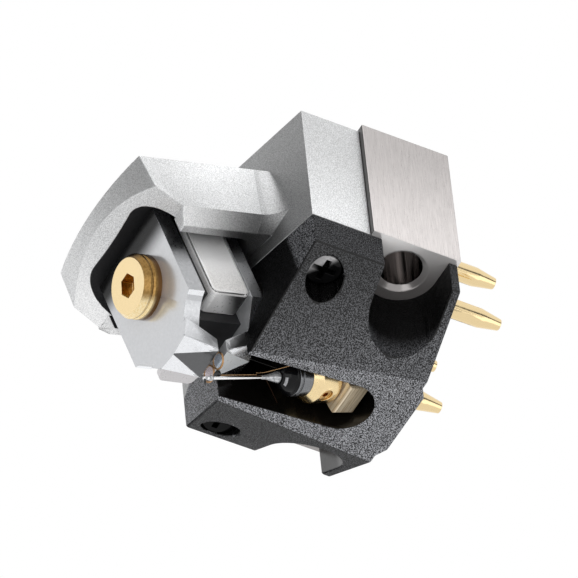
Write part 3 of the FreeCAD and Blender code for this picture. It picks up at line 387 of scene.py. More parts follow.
# Materials
class Finish:
    """A Principled material that is put together step by step."""

    def __init__(self, name, colour, metallic, roughness):
        self.material = bpy.data.materials.new(name)
        self.material.use_nodes = True
        self.tree = self.material.node_tree
        self.shader = self.tree.nodes["Principled BSDF"]
        self.set("Base Color", colour)
        self.set("Metallic", metallic)
        self.set("Roughness", roughness)
        self.coords = self.tree.nodes.new("ShaderNodeTexCoord").outputs["Object"]

    def set(self, label, value):
        self.shader.inputs[label].default_value = value

    def link(self, socket, label):
        self.tree.links.new(socket, self.shader.inputs[label])

    def effect(self, group, **values):
        """Place a shared effect, and return its mask and its height."""
        node = self.tree.nodes.new("ShaderNodeGroup")
        node.node_tree = group
        self.tree.links.new(self.coords, node.inputs["Vector"])
        for label, value in values.items():
            node.inputs[label.replace("_", " ")].default_value = value
        return node.outputs[0], node.outputs[1]

    def grain(self, per_metre, sharpness, share=0.5):
        return self.effect(grain_group(), Grains_per_metre=per_metre, Sharpness=sharpness,
                           Share=share)

    def brushed(self, stretch, sharpness):
        return self.effect(brush_group(), Stretch=stretch, Sharpness=sharpness)

    def sweep(self, way, start, end):
        """A mask from 0 to 1 between two places, in millimetres, along one direction."""
        return map_range(self.tree, along(self.tree, self.coords, way), (start * MM, end * MM),
                         (0.0, 1.0), "SMOOTHSTEP")

    def blend(self, mask, low, high):
        """Turn a mask into a colour between two colours."""
        node = self.tree.nodes.new("ShaderNodeMix")
        node.data_type = "RGBA"
        self.tree.links.new(mask, node.inputs["Factor"])
        for value, slot in ((low, 6), (high, 7)):
            if isinstance(value, bpy.types.NodeSocket):
                self.tree.links.new(value, node.inputs[slot])
            else:
                node.inputs[slot].default_value = value
        return node.outputs[2]

    def vary_colour(self, mask, low, high):
        self.link(self.blend(mask, low, high), "Base Color")

    def vary_roughness(self, mask, low, high):
        self.link(map_range(self.tree, mask, (0.0, 1.0), (low, high)), "Roughness")

    def mottle_and_painted_shade(self, mask, colour, low, high, painted_shading=None):
        """Vary a colour between two shades of itself. A painted shading ramp also paints light and
        shade along the piece: its way, its start and end in millimetres, and the shade that it
        gives at each of them."""
        if painted_shading is None:
            self.vary_colour(mask, shade(colour, low), shade(colour, high))
            return
        way, start, end, first, last = painted_shading
        ends = [self.blend(mask, shade(colour, low * part), shade(colour, high * part))
                for part in (first, last)]
        self.vary_colour(self.sweep(way, start, end), *ends)

    def bump(self, height, depth):
        """Raise the surface by a height, as deep as this many millimetres."""
        node = self.tree.nodes.new("ShaderNodeBump")
        node.inputs["Distance"].default_value = depth * MM
        node.inputs["Strength"].default_value = 1.0
        self.tree.links.new(height, node.inputs["Height"])
        self.link(node.outputs[0], "Normal")


def shade(colour, factor):
    return tuple(min(part * factor, 1.0) for part in colour[:3]) + (1.0,)


def brushed_titanium(colour):
    finish = Finish("Brushed titanium", colour, 1.0, 0.3)
    lines, height = finish.brushed((19000.0, 19000.0, 900.0), 3.0)
    # Painted shade: darker towards the top of the block, lighter below.
    finish.mottle_and_painted_shade(lines, colour, 0.84, 1.14, (DOWN_AND_BACK, 0.0, 9.5, 0.64, 1.04))
    finish.vary_roughness(lines, 0.26, 0.36)
    finish.bump(height, 0.004)
    return finish.material


def machined_titanium_painted_light(colour):
    finish = Finish("Machined titanium with painted light", colour, 0.5, 0.2)
    lines, _ = finish.brushed((600.0, 16000.0, 16000.0), 2.0)
    # Painted light: lighter towards +X, up to nearly twice the colour.
    finish.mottle_and_painted_shade(lines, colour, 0.95, 1.05, ((1.0, -0.4, 0.0), 4.5, 7.5, 0.8, 1.9))
    return finish.material


def polished_bore_painted_shade(colour):
    finish = Finish("Polished bore with painted shade", colour, 1.0, 0.1)
    lines, _ = finish.brushed((3200.0, 3200.0, 40.0), 4.0)
    # Painted shade: the bore is coloured darker than the block, with lighter streaks along it as
    # painted reflections.
    finish.mottle_and_painted_shade(lines, colour, 0.3, 0.8)
    return finish.material


def blasted_aluminium(colour, name, painted_shading):
    finish = Finish(name, colour, 1.0, 0.4)
    specks, height = finish.grain(15000.0, 5.0)
    # The painted shading ramp paints light and shade along each part.
    finish.mottle_and_painted_shade(specks, colour, 0.78, 1.16, painted_shading)
    finish.vary_roughness(specks, 0.46, 0.36)
    finish.bump(height, 0.03)
    return finish.material


def speckled_resin(colour, speck, name, gloss, painted_shading=None):
    """Black with pale specks. A painted shading ramp dims both as painted shade: its way, start and
    end, and the shade before it.
    """
    finish = Finish(name, colour, 0.0, 0.42)
    finish.set("Specular IOR Level", gloss)
    specks, height = finish.grain(14000.0, 9.0, 0.3)
    speckled = finish.blend(specks, colour, speck)
    if painted_shading:
        way, start, end, first = painted_shading
        dim = finish.blend(specks, shade(colour, first), shade(speck, first))
        speckled = finish.blend(finish.sweep(way, start, end), dim, speckled)
    finish.link(speckled, "Base Color")
    finish.vary_roughness(specks, 0.45, 0.32)
    finish.bump(height, 0.06)
    return finish.material


def polished_gold(colour, name, roughness):
    finish = Finish(name, colour, 1.0, roughness)
    specks, height = finish.grain(5000.0, 1.6)
    finish.vary_roughness(specks, roughness * 0.7, roughness * 1.4)
    finish.bump(height, 0.004)
    return finish.material


def gold_with_painted_shade():
    """Gold with painted shade above and at its foot, and bright gold below."""
    brown = (0.2, 0.11, 0.03, 1.0)
    finish = Finish("Gold with painted shade", brown, 1.0, 0.2)
    specks, _ = finish.grain(7000.0, 2.0)
    dark = finish.blend(specks, brown, (0.38, 0.23, 0.08, 1.0))
    pale = finish.blend(specks, (0.85, 0.62, 0.28, 1.0), (1.0, 0.86, 0.56, 1.0))
    round_it = finish.blend(finish.sweep((-0.68, 0.226, -0.694), 5.0, 5.7), dark, pale)
    foot = finish.sweep(PLATE_REAR, -17.2, -16.95)
    finish.vary_colour(foot, round_it, (0.16, 0.08, 0.03, 1.0))
    return finish.material


def barrel_gold(colour):
    """Bright gold with orange brown painted shade round its lower side and at its neck."""
    finish = Finish("Barrel gold", colour, 1.0, 0.24)
    specks, _ = finish.grain(5000.0, 2.0)
    pale = finish.blend(specks, shade(colour, 0.92), shade(colour, 1.06))
    low = finish.sweep((-0.8, 0.26, -0.54), 7.9, 9.4)
    finish.vary_colour(low, pale, (0.30, 0.14, 0.03, 1.0))
    finish.vary_roughness(specks, 0.2, 0.3)
    return finish.material


def brushed_gold():
    pale = (1.0, 0.86, 0.64, 1.0)
    finish = Finish("Brushed gold", pale, 0.3, 0.24)
    lines, height = finish.brushed((260.0, 9000.0, 9000.0), 6.0)
    finish.vary_colour(lines, (0.55, 0.42, 0.26, 1.0), pale)
    finish.vary_roughness(lines, 0.36, 0.26)
    finish.bump(height, 0.006)
    return finish.material


def plated(colour, name, roughness, painted_shading=None, metallic=1.0):
    """Smooth plate of the yokes, the edges of the magnets and the socket of the screw. A painted
    shading ramp, where given, paints light and shade along it.
    """
    finish = Finish(name, colour, metallic, roughness)
    specks, _ = finish.grain(6000.0, 1.6)
    finish.mottle_and_painted_shade(specks, colour, 0.95, 1.05, painted_shading)
    finish.vary_roughness(specks, roughness * 1.2, roughness * 0.8)
    return finish.material


def nickel_with_painted_light(colour):
    finish = Finish("Nickel with painted light", colour, 0.2, 0.36)
    specks, height = finish.grain(11000.0, 5.0)
    # Painted light: lighter towards the top of the magnet.
    finish.mottle_and_painted_shade(specks, colour, 0.92, 1.2, (PLATE_DOWN, 6.5, 8.8, 1.5, 0.95))
    finish.vary_roughness(specks, 0.3, 0.42)
    finish.bump(height, 0.008)
    return finish.material


def plain_black(colour, name, roughness, grains=9000.0):
    finish = Finish(name, colour, 0.0, roughness)
    specks, height = finish.grain(grains, 2.0)
    finish.vary_colour(specks, shade(colour, 0.8), shade(colour, 1.6))
    finish.vary_roughness(specks, roughness * 0.85, roughness * 1.2)
    finish.bump(height, 0.003)
    return finish.material


def glossy_head_painted_highlight(colour, name, sweep):
    """Polished black with a painted highlight on one side of the head."""
    finish = Finish(name, colour, 0.0, 0.12)
    finish.set("Specular IOR Level", 0.12)
    specks, _ = finish.grain(6000.0, 2.0)
    painted_shine = finish.blend(specks, (0.5, 0.49, 0.5, 1.0), (0.72, 0.71, 0.72, 1.0))
    finish.vary_colour(finish.sweep(*sweep), shade(colour, 0.3), painted_shine)
    finish.vary_roughness(specks, 0.1, 0.16)
    return finish.material


def drawn_metal(colour, name, roughness):
    finish = Finish(name, colour, 1.0, roughness)
    lines, _ = finish.brushed((15000.0, 900.0, 15000.0), 2.0)
    finish.vary_colour(lines, shade(colour, 0.85), shade(colour, 1.08))
    finish.vary_roughness(lines, roughness * 0.8, roughness * 1.3)
    return finish.material


def clear_film(tint, name):
    finish = Finish(name, tint, 0.0, 0.08)
    finish.set("Transmission Weight", 0.85)
    finish.set("IOR", 1.3)
    specks, _ = finish.grain(3000.0, 1.5)
    finish.vary_roughness(specks, 0.05, 0.16)
    return finish.material


def pale_glue(name):
    pale = (0.85, 0.86, 0.88, 1.0)
    finish = Finish(name, pale, 0.35, 0.12)
    finish.set("Coat Weight", 0.6)
    finish.set("Coat Roughness", 0.08)
    lumps, height = finish.grain(6000.0, 2.5)
    finish.vary_colour(lumps, (0.2, 0.21, 0.22, 1.0), pale)
    finish.bump(height, 0.03)
    return finish.material


# Pieces, one operator for each or for each group of like pieces. Their tests take the middle of a
# face in millimetres and its normal, and say whether it gets a finish of its own; most of these
# finishes are lighter or darker copies that paint light and shade.
class MakeMountBlock(bpy.types.Operator):
    """Brushed titanium block with the two screw holes"""
    bl_idname = "cartridge.mount_block"
    bl_label = "Mount block"

    def execute(self, context):
        sizes, colours = settings_of(context)
        block = soften("mount_block", "brushed_mount_block", brushed_titanium(colours.titanium),
                       sizes.metal_edge)
        paint_where(block, machined_titanium_painted_light(colours.titanium), self.faces_down)
        # Painted shade: the front strip of the block is coloured near black.
        paint_where(block, plain_black((0.035, 0.033, 0.032, 1.0), "Shaded titanium", 0.3),
                    self.faces_front)
        paint_where(block, polished_bore_painted_shade(colours.titanium), self.in_bore)
        return {"FINISHED"}

    def faces_down(self, spot, normal):
        return normal.z < -0.5

    def faces_front(self, spot, normal):
        return normal.y < -SQUARE

    def in_bore(self, spot, normal):
        return abs(normal.z) < 0.1 and math.hypot(abs(spot.x) - SCREW_X, spot.y) < 1.5


class MakeFrontHousing(bpy.types.Operator):
    """Blasted aluminium body with the nose that hoods the generator"""
    bl_idname = "cartridge.front_housing"
    bl_label = "Front housing"

    def execute(self, context):
        sizes, colours = settings_of(context)
        turn = generator_frame()
        bm = merged_copy("front_housing")
        self.fillet_root(bm, turn.inverted(), sizes.nose_root)
        # Painted shade: the sides are darker towards the top, lighter below.
        side = blasted_aluminium(colours.aluminium, "Blasted aluminium",
                                 (DOWN_AND_BACK, 0.0, 9.0, 0.82, 1.15))
        body = piece_from(bm, "blasted_front_housing", side,
                          ("front_housing",))
        break_edges(body, sizes.metal_edge)
        # Copies of the blasted finish with painted light and shade on each part: the facets, nose,
        # bow, rim and underside, the rounded roots, and a painted shade in the creases beside them.
        parts = [
            ("Blasted facet", (DOWN, 1.0, 9.0, 0.74, 0.5), self.on_facet, Matrix.Identity(4)),
            ("Blasted nose", (REAR, -16.0, -11.0, 0.9, 1.15), self.on_nose, turn),
            ("Blasted bow", (FAR_SIDE, -5.0, 4.0, 0.78, 1.15), self.on_bow, turn),
            ("Blasted rim", (FAR_SIDE, 0.0, 5.0, 1.05, 1.5), self.on_rim, turn),
            ("Blasted underside", (PLATE_REAR, -16.6, -10.9, 1.45, 0.22), self.on_underside, turn)]
        for hand, way in (("right", 1.0), ("left", -1.0)):
            outwards = (way, 0.0, 0.0)
            parts += [
                ("Blasted root " + hand, (outwards, 5.0, 6.1, 0.92, 0.5),
                 self.root_test(way, 1.0), turn),
                ("Blasted crease " + hand, (outwards, 4.8, 5.9, 0.12, 0.5),
                 self.root_test(way, -0.2), turn)]
        for name, painted_shading, test, tilt in parts:
            paint_where(body, blasted_aluminium(colours.aluminium, name, painted_shading), test, tilt)
        # Painted shade: the hollow inside the nose is coloured near black.
        hollow = plain_black((0.03, 0.03, 0.032, 1.0), "Shaded hollow", 0.35)
        paint_where(body, hollow, self.in_hollow, turn)
        return {"FINISHED"}

    def fillet_root(self, bm, back, radius):
        """Round the inner corners where the sides of the nose meet the front facets."""
        bm.normal_update()
        roots = []
        for edge in bm.edges:
            if len(edge.link_faces) != 2:
                continue
            kinds = set()
            for face in edge.link_faces:
                middle = face.calc_center_median()
                if self.on_facet(middle / MM, face.normal):
                    kinds.add("facet")
                spot, normal = back @ middle / MM, back.to_3x3() @ face.normal
                if spot.y < -10.5 and abs(normal.x) > 0.8:
                    kinds.add("nose")
            if len(kinds) == 2:
                roots.append(edge)
        bevel_edges(bm, roots, radius, 8)

    def root_test(self, way, highest):
        """A test for the rounded root on one side, up to a highest Z of the normal."""
        def on_root(spot, normal):
            return (spot.x * way > 4.4 and -12.0 < spot.y < -8.2 and -0.95 < normal.y < -0.1
                    and normal.z < highest)
        return on_root

    def on_facet(self, spot, normal):
        return normal.y < -0.8 and spot.y > -11.0 and abs(normal.x) < 0.4

    def on_nose(self, spot, normal):
        return abs(normal.x) > SQUARE and spot.y < -10.8 and abs(spot.x) > 4.9

    def on_bow(self, spot, normal):
        return normal.y < -0.8 and spot.y < -17.0

    def on_rim(self, spot, normal):
        cut = normal.y < -0.55 and normal.z < -0.4
        chin = normal.y < -SQUARE and spot.z < -4.2
        return spot.y < -14.0 and (cut or chin)

    def on_underside(self, spot, normal):
        facet = abs(normal.x) > 0.5 and normal.z < -0.3 and abs(spot.x) > 4.45
        return spot.y < -10.5 and (facet or normal.z < -SQUARE and spot.z < -5.5)

    def in_hollow(self, spot, normal):
        """True inside the nose, but not on its rim."""
        return (abs(spot.x) < 4.3 and spot.y < -10.8 and -5.5 < spot.z < -2.6
                and not self.on_rim(spot, normal))


class MakeLowerHousing(bpy.types.Operator):
    """Black speckled lower body"""
    bl_idname = "cartridge.lower_housing"
    bl_label = "Lower housing"

    def execute(self, context):
        sizes, colours = settings_of(context)
        resin, speck = colours.resin, colours.resin_speck
        bm = merged_copy("lower_housing")
        self.bevel_belly_edges(bm, sizes.belly_edge)
        # Painted shade: the belly's specks are dimmed towards +X.
        belly = speckled_resin(resin, speck, "Speckled resin", 0.35,
                               ((-1.0, 0.3, 0.0), -9.0, -2.0, 0.3))
        body = piece_from(bm, "speckled_lower_housing", belly, ("lower_housing",))
        # Painted shade: the near edges round the belly are coloured near black.
        body.data.materials.append(plain_black((0.002, 0.002, 0.002, 1.0), "Painted edge shade", 0.6))
        break_edges(body, sizes.resin_edge)
        # Lighter and darker copies of the resin on the side, front, foot, far belly and sole, as
        # painted light and shade; the front's specks go black towards its inner end, a painted
        # shadow.
        for name, part, gloss, painted_shading, test in (
                ("Smooth resin", 0.4, 0.05, None, self.on_side),
                ("Front resin", 0.7, 0.03, ((1.0, 0.0, 0.193), 3.8, 4.15, 0.05), self.on_front),
                ("Foot resin", 1.5, 0.03, None, self.on_foot),
                ("Far resin", 0.3, 0.03, None, self.on_far_belly),
                ("Sole resin", 2.0, 0.35, None, self.on_sole)):
            paint_where(body, speckled_resin(resin, shade(speck, part), name, gloss, painted_shading), test)
        # Painted shade in the recesses: the screw pockets, the far notch wall and the slot are near
        # black without specks, and the near notch wall is near black above, keeping its specks only
        # low down.
        pocket = plain_black((0.002, 0.002, 0.002, 1.0), "Screw pocket", 0.25)
        far_notch = plain_black((0.003, 0.003, 0.003, 1.0), "Far notch wall", 0.3)
        near_notch = speckled_resin(resin, shade(speck, 0.5), "Notch wall", 0.1,
                                    (DOWN, 12.9, 14.4, 0.05))
        slot = plain_black((0.004, 0.0035, 0.003, 1.0), "Gloss slot", 0.18)
        for material, test in ((pocket, self.in_pocket), (far_notch, self.in_notch),
                               (near_notch, self.in_near_notch), (slot, self.in_slot)):
            paint_where(body, material, test)
        return {"FINISHED"}

    def bevel_belly_edges(self, bm, width):
        """Break the edges between the belly and the faces above it. The near ones get the second
        material, a near black painted shade."""
        bm.normal_update()
        belly_edges = []
        for edge in bm.edges:
            if len(edge.link_faces) != 2:
                continue
            low, high = sorted((face.normal for face in edge.link_faces),
                               key=lambda normal: normal.z)
            belly = low.z < -0.5 and abs(low.x) > 0.3
            if belly and abs(high.z) < 0.1 and (abs(high.x) > 0.95 or high.y < -SQUARE):
                belly_edges.append(edge)
        near = [edge for edge in belly_edges if edge.verts[0].co.x + edge.verts[1].co.x > 0.0]
        far = [edge for edge in belly_edges if edge not in near]
        bevel_edges(bm, near, width, 1, material=1)
        bevel_edges(bm, far, width, 1)

    def on_side(self, spot, normal):
        return abs(normal.x) > 0.95 and abs(spot.x) > 7.5

    def on_front(self, spot, normal):
        return normal.y < -SQUARE and normal.x > 0.1

    def on_foot(self, spot, normal):
        return normal.y < -SQUARE and normal.x < -0.1

    def on_far_belly(self, spot, normal):
        return normal.x < -0.3 and normal.z < -0.5

    def on_sole(self, spot, normal):
        return normal.z < -SQUARE and abs(normal.x) < 0.1 and spot.z < -14.0

    def in_pocket(self, spot, normal):
        """True on the walls of the two screw pockets."""
        reach = math.hypot(abs(spot.x) - POCKET_X, spot.y - POCKET_Y)
        return abs(normal.z) < 0.3 and reach < 1.3

    def in_notch(self, spot, normal):
        """True on the walls of the two screw notches."""
        reach = math.hypot(abs(spot.x) - SCREW_X, spot.y)
        return abs(normal.z) < 0.3 and abs(spot.y) < 2.3 and reach < 2.6 and abs(spot.x) > 4.0

    def in_near_notch(self, spot, normal):
        return spot.x > 0.0 and self.in_notch(spot, normal)

    def in_slot(self, spot, normal):
        """True on the walls and roof of the suspension slot."""
        roof = spot.z > -14.0
        return abs(spot.x) < 1.83 and spot.y < 2.5 and (roof or normal.z > -0.5)


class MakeHousingScrews(bpy.types.Operator):
    """Black cross-head screws in the lower body"""
    bl_idname = "cartridge.housing_screws"
    bl_label = "Housing screws"

    def execute(self, context):
        sizes, colours = settings_of(context)
        way = Vector((0.7, -0.9, 0.0)).normalized()
        for side in ("right", "left"):
            low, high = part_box("housing_screw_" + side)
            start = way.dot((low + high) / 2) / MM
            # Painted highlight: the head is pale grey on one side and near black on the other.
            black = glossy_head_painted_highlight(colours.black, "Gloss black " + side,
                                (way, start + 0.05, start + 0.6))
            soften("housing_screw_" + side, "cross_screw_" + side, black,
                   sizes.small_edge)
        return {"FINISHED"}


class MakeGenerator(bpy.types.Operator):
    """Yokes, magnets, spacer and their gold screw"""
    bl_idname = "cartridge.generator"
    bl_label = "Generator"

    def execute(self, context):
        sizes, colours = settings_of(context)
        turn = generator_frame()
        self.yokes(sizes, colours.yoke, turn)
        self.magnets(sizes, colours.magnet, turn)
        soften("magnet_spacer", "matt_spacer", plain_black(colours.black, "Matt black", 0.5),
               sizes.small_edge)
        self.screw(sizes, colours.gold, turn)
        self.shoulder(turn)
        return {"FINISHED"}

    def yokes(self, sizes, colour, turn):
        # Lit and shaded copies of the yoke plate, as painted light and shade: the plate goes near
        # black towards its top, the side band is lighter towards its top, the scoop darker, the
        # pole flanks lighter, the front pole's foot near black and the rear pole's foot pale.
        plate = plated(colour, "Plated yoke", 0.2, (PLATE_DOWN, 4.0, 5.6, 0.02, 1.0), 0.6)
        band = plated(shade(colour, 0.42), "Yoke side", 0.3, (PLATE_DOWN, 4.5, 7.5, 2.2, 1.0))
        scoop = plated(shade(colour, 0.8), "Yoke scoop", 0.3)
        light = plated(shade(colour, 1.3), "Pole light", 0.25)
        dark = plated(shade(colour, 0.2), "Pole shade", 0.2)
        pale = plated((0.93, 0.97, 1.0, 1.0), "Pole pale", 0.3, metallic=0.15)
        for side, under in (("front", dark), ("rear", pale)):
            yoke = soften(side + "_yoke", "plated_%s_yoke" % side, plate,
                          sizes.small_edge * 0.5, angle=5.0)
            for material, test in ((band, self.on_band), (scoop, self.on_scoop),
                                   (light, self.on_pole_flank), (under, self.on_pole_foot)):
                paint_where(yoke, material, test, turn)

    def magnets(self, sizes, colour, turn):
        # Painted light and shade: the nickel is lighter towards the magnet's top, the foot goes
        # from light to near black across it, and the broken edges take a near white rim as a
        # painted highlight.
        nickel = nickel_with_painted_light(colour)
        foot = plated((0.9, 0.88, 0.88, 1.0), "Nickel foot", 0.3,
                      ((0.5, 0.82, 0.27), -11.0, -9.8, 1.3, 0.03), 0.3)
        rim = plated((0.97, 0.96, 0.95, 1.0), "Nickel rim", 0.25, metallic=0.2)
        for side in ("right", "left"):
            magnet = soften("magnet_" + side, "nickel_magnet_" + side, nickel,
                            sizes.magnet_edge)
            paint_where(magnet, foot, self.on_magnet_foot, turn)
            magnet.data.materials.append(rim)
            magnet.modifiers["Broken edges"].material = len(magnet.data.materials) - 1

    def screw(self, sizes, colour, turn):
        gold = polished_gold(colour, "Polished gold", 0.16)
        screw = soften("yoke_screw", "gold_yoke_screw", gold, sizes.small_edge)
        low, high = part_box("yoke_screw")
        axis = turn.inverted() @ ((low + high) / 2) / MM

        def in_socket(spot, normal):
            reach = math.hypot(spot.x - axis.x, spot.z - axis.z)
            return self.on_screw_side(spot, normal) and reach < 0.8

        # Painted shade: the screw's sides take gold with painted shade, and its socket a darker
        # orange gold.
        socket = plated((0.80, 0.46, 0.08, 1.0), "Socket gold", 0.3, metallic=0.5)
        paint_where(screw, gold_with_painted_shade(), self.on_screw_side, turn)
        paint_where(screw, socket, in_socket, turn)

    def shoulder(self, turn):
        """Rounded land on the far side of the front pole's foot."""
        bm = bmesh.new()
        corners = [bm.verts.new(Vector(spot) * MM) for spot in (
            (-1.40, -16.70, -11.50), (-1.16, -14.48, -12.13), (-2.08, -14.48, -11.90),
            (-2.17, -16.70, -11.75))]
        raised = bmesh.ops.extrude_face_region(bm, geom=[bm.faces.new(corners)])["geom"]
        bmesh.ops.translate(bm, vec=(0.0, 0.0, 0.45 * MM),
                            verts=[part for part in raised if isinstance(part, bmesh.types.BMVert)])
        outer = [edge for edge in bm.edges if all(vert.co.x < -1.9 * MM for vert in edge.verts)
                 and abs(edge.verts[0].co.y - edge.verts[1].co.y) < 0.01 * MM]
        bevel_edges(bm, outer, 0.28 * MM, 5)
        bmesh.ops.recalc_face_normals(bm, faces=bm.faces)
        for edge in bm.edges:
            edge.smooth = edge.calc_face_angle(0.0) < math.radians(SHARP)
        land = plated((0.80, 0.78, 0.79, 1.0), "Pole shoulder", 0.3, metallic=0.2)
        piece = piece_from(place_mesh(bm, turn), "pole_shoulder", land)
        break_edges(piece, 0.04 * MM)

    def on_band(self, spot, normal):
        return abs(normal.x) > SQUARE

    def on_scoop(self, spot, normal):
        return abs(normal.x) > 0.3 and normal.z < -0.2 and abs(normal.y) < 0.3

    def on_pole_flank(self, spot, normal):
        return normal.z < -SQUARE and abs(normal.x) > 0.08

    def on_pole_foot(self, spot, normal):
        return normal.z < -SQUARE and abs(normal.x) < 0.08

    def on_magnet_foot(self, spot, normal):
        return normal.z < -0.5

    def on_screw_side(self, spot, normal):
        return normal.y > -0.95


class MakeCoils(bpy.types.Operator):
    """Two wound copper rings with clear films, on their carrier"""
    bl_idname = "cartridge.coils"
    bl_label = "Coils"

    def execute(self, context):
        sizes, colours = settings_of(context)
        copper = drawn_metal(colours.copper, "Enamelled copper", 0.24)
        turn, wire = generator_frame(), sizes.coil_wire
        for side, tint in (("right", (0.80, 0.87, 0.96, 1.0)), ("left", (0.96, 0.86, 0.88, 1.0))):
            low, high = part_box("coil_" + side)
            centre = turn.inverted() @ ((low + high) / 2)
            bm = bmesh.new()
            for row in range(COIL_ROWS):
                for column in COIL_COLUMNS:
                    self.wind(bm, centre, COIL_RADIUS * MM - row * wire * COIL_STEP_IN,
                              column * wire * COIL_STEP_ACROSS, wire)
            piece_from(place_mesh(bm, turn), "wound_coil_" + side, copper,
                       ("coil_" + side,), "moving_system")
            soften("coil_former_" + side, "film_" + side, clear_film(tint, "Clear film " + side),
                   0.01 * MM, "moving_system")
        soften("coil_carrier", "black_carrier", plain_black(colours.black, "Gloss carrier", 0.2),
               0.02 * MM, "moving_system")
        # Painted shade: the left lead's tail is coloured near black.
        dark = drawn_metal((0.03, 0.015, 0.008, 1.0), "Copper in painted shade", 0.3)
        for node in ("coil_lead_right", "coil_lead_left", "lead_tail_right"):
            coat(node, copper)
        coat("lead_tail_left", dark)
        return {"FINISHED"}

    def wind(self, bm, centre, radius, shift, wire):
        """One turn of wire: a small circle spun round the ring's own axis."""
        verts = bmesh.ops.create_circle(bm, segments=8, radius=wire)["verts"]
        side = Matrix.Translation(centre + Vector((radius, shift, 0.0)))
        bmesh.ops.transform(bm, matrix=side, verts=verts)
        edges = list({edge for vert in verts for edge in vert.link_edges})
        bmesh.ops.spin(bm, geom=verts + edges, cent=centre, axis=(0, 1, 0), angle=math.tau,
                       steps=56, use_merge=True)
        bmesh.ops.recalc_face_normals(bm, faces=bm.faces)


class MakeRod(bpy.types.Operator):
    """Cantilever rod, its diamond and the beads of glue on it"""
    bl_idname = "cartridge.rod"
    bl_label = "Rod and stylus"

    def execute(self, context):
        sizes, colours = settings_of(context)
        radius = sizes.rod_radius / MM
        silver = drawn_metal((0.86, 0.86, 0.87, 1.0), "Bright rod", 0.16)
        bm = turned(((-6.2, 0.0), (-6.2, radius * 0.8), (-6.17, radius), (-0.97, radius),
                     (-0.95, radius * 0.9), (-0.95, 0.0)), 40)
        piece_from(place_mesh(bm, rod_frame()), "bright_rod", silver,
                   ("cantilever",), "moving_system")
        soften("stylus", "diamond_stylus", plain_black(colours.black, "Polished diamond", 0.08),
               0.004 * MM, "moving_system")
        glue = pale_glue("Pale glue")
        self.bead("coil_glue", glue, -5.62, 0.17, 0.2)
        self.bead("front_glue", glue, -6.02, 0.125, 0.14)
        return {"FINISHED"}

    def bead(self, name, glue, place, radius, length):
        """A drop of glue that sits round the rod."""
        bm = bmesh.new()
        bmesh.ops.create_uvsphere(bm, u_segments=28, v_segments=16, radius=radius * MM)
        bmesh.ops.scale(bm, vec=(1.0, length / radius, 1.0), verts=bm.verts)
        bmesh.ops.translate(bm, vec=(0.0, place * MM, 0.0), verts=bm.verts)
        piece_from(place_mesh(bm, rod_frame()), name, glue, body="moving_system")


class MakeSuspension(bpy.types.Operator):
    """Sleeve, rubber, washer, barrel and block"""
    bl_idname = "cartridge.suspension"
    bl_label = "Suspension"

    def execute(self, context):
        sizes, colours = settings_of(context)
        turn = rod_frame()
        bm = turned(((-1.78, 0.1), (-1.76, 0.115), (-1.7, 0.13), (-1.5, 0.14), (-1.36, 0.155),
                     (-1.28, 0.18), (-1.15, 0.215), (-0.95, 0.255), (-0.8, 0.29), (-0.65, 0.34),
                     (-0.53, 0.365), (-0.5, 0.35), (-0.5, 0.25), (-0.95, 0.25), (-0.95, 0.1)), 48)
        piece_from(place_mesh(bm, turn), "glue_sleeve", pale_glue("Glue sleeve"),
                   ("joint_sleeve",), "moving_system")
        rubber = plain_black((0.004, 0.004, 0.005, 1.0), "Glossy rubber", 0.14, 4000.0)
        shader = rubber.node_tree.nodes["Principled BSDF"]
        shader.inputs["Specular IOR Level"].default_value = 0.2
        bm = turned(((-0.44, 0.16), (-0.44, 0.4), (-0.42, 0.45), (-0.36, 0.56), (-0.26, 0.7),
                     (-0.12, 0.84), (0.06, 0.94), (0.2, 0.985), (0.25, 1.0), (0.255, 1.08),
                     (0.27, 1.1), (0.34, 1.1), (0.35, 1.09), (0.35, 0.16)), 72)
        dome = piece_from(place_mesh(bm, turn), "rubber_dome", rubber,
                          ("damper",))
        # Painted highlight: a pale crescent on the dome.
        paint_where(dome, plain_black((0.42, 0.42, 0.44, 1.0), "Dome glint", 0.2), self.on_glint,
                    turn)
        washer = drawn_metal((0.22, 0.225, 0.235, 1.0), "Turned washer", 0.24)
        set_screw = polished_gold((0.6, 0.36, 0.13, 1.0), "Set screw", 0.15)
        edge = sizes.small_edge
        soften("damper_washer", "turned_washer", washer, edge)
        soften("suspension_barrel", "gold_barrel", barrel_gold(colours.gold), edge)
        soften("barrel_set_screw", "socket_set_screw", set_screw, 0.02 * MM)
        soften("suspension_block", "brushed_block", brushed_gold(), edge)
        for node in ("suspension_wire", "joint_pipe"):
            coat(node, drawn_metal((0.6, 0.6, 0.6, 1.0), "Wire of " + node, 0.3))
        return {"FINISHED"}

    def on_glint(self, spot, normal):
        """A crescent low on the dome: a painted highlight where the rubber would mirror the light.
        """
        reach, turned_by = math.hypot(spot.x, spot.z), math.atan2(spot.x, -spot.z)
        return 0.6 < reach < 0.72 and -0.1 < turned_by < 0.75 and spot.y < 0.0


class MakeTerminals(bpy.types.Operator):
    """Gold pins in their insulating plate"""
    bl_idname = "cartridge.terminals"
    bl_label = "Terminals"

    def execute(self, context):
        sizes, colours = settings_of(context)
        black = plain_black(colours.black, "Terminal plate", 0.4)
        soften("terminal_plate", "black_terminal_plate", black, sizes.small_edge)
        gold = polished_gold(shade(colours.gold, 0.9), "Pin gold", 0.12)
        for index in range(1, 5):
            soften("terminal_pin_%d" % index, "gold_pin_%d" % index, gold,
                   sizes.small_edge)
        return {"FINISHED"}


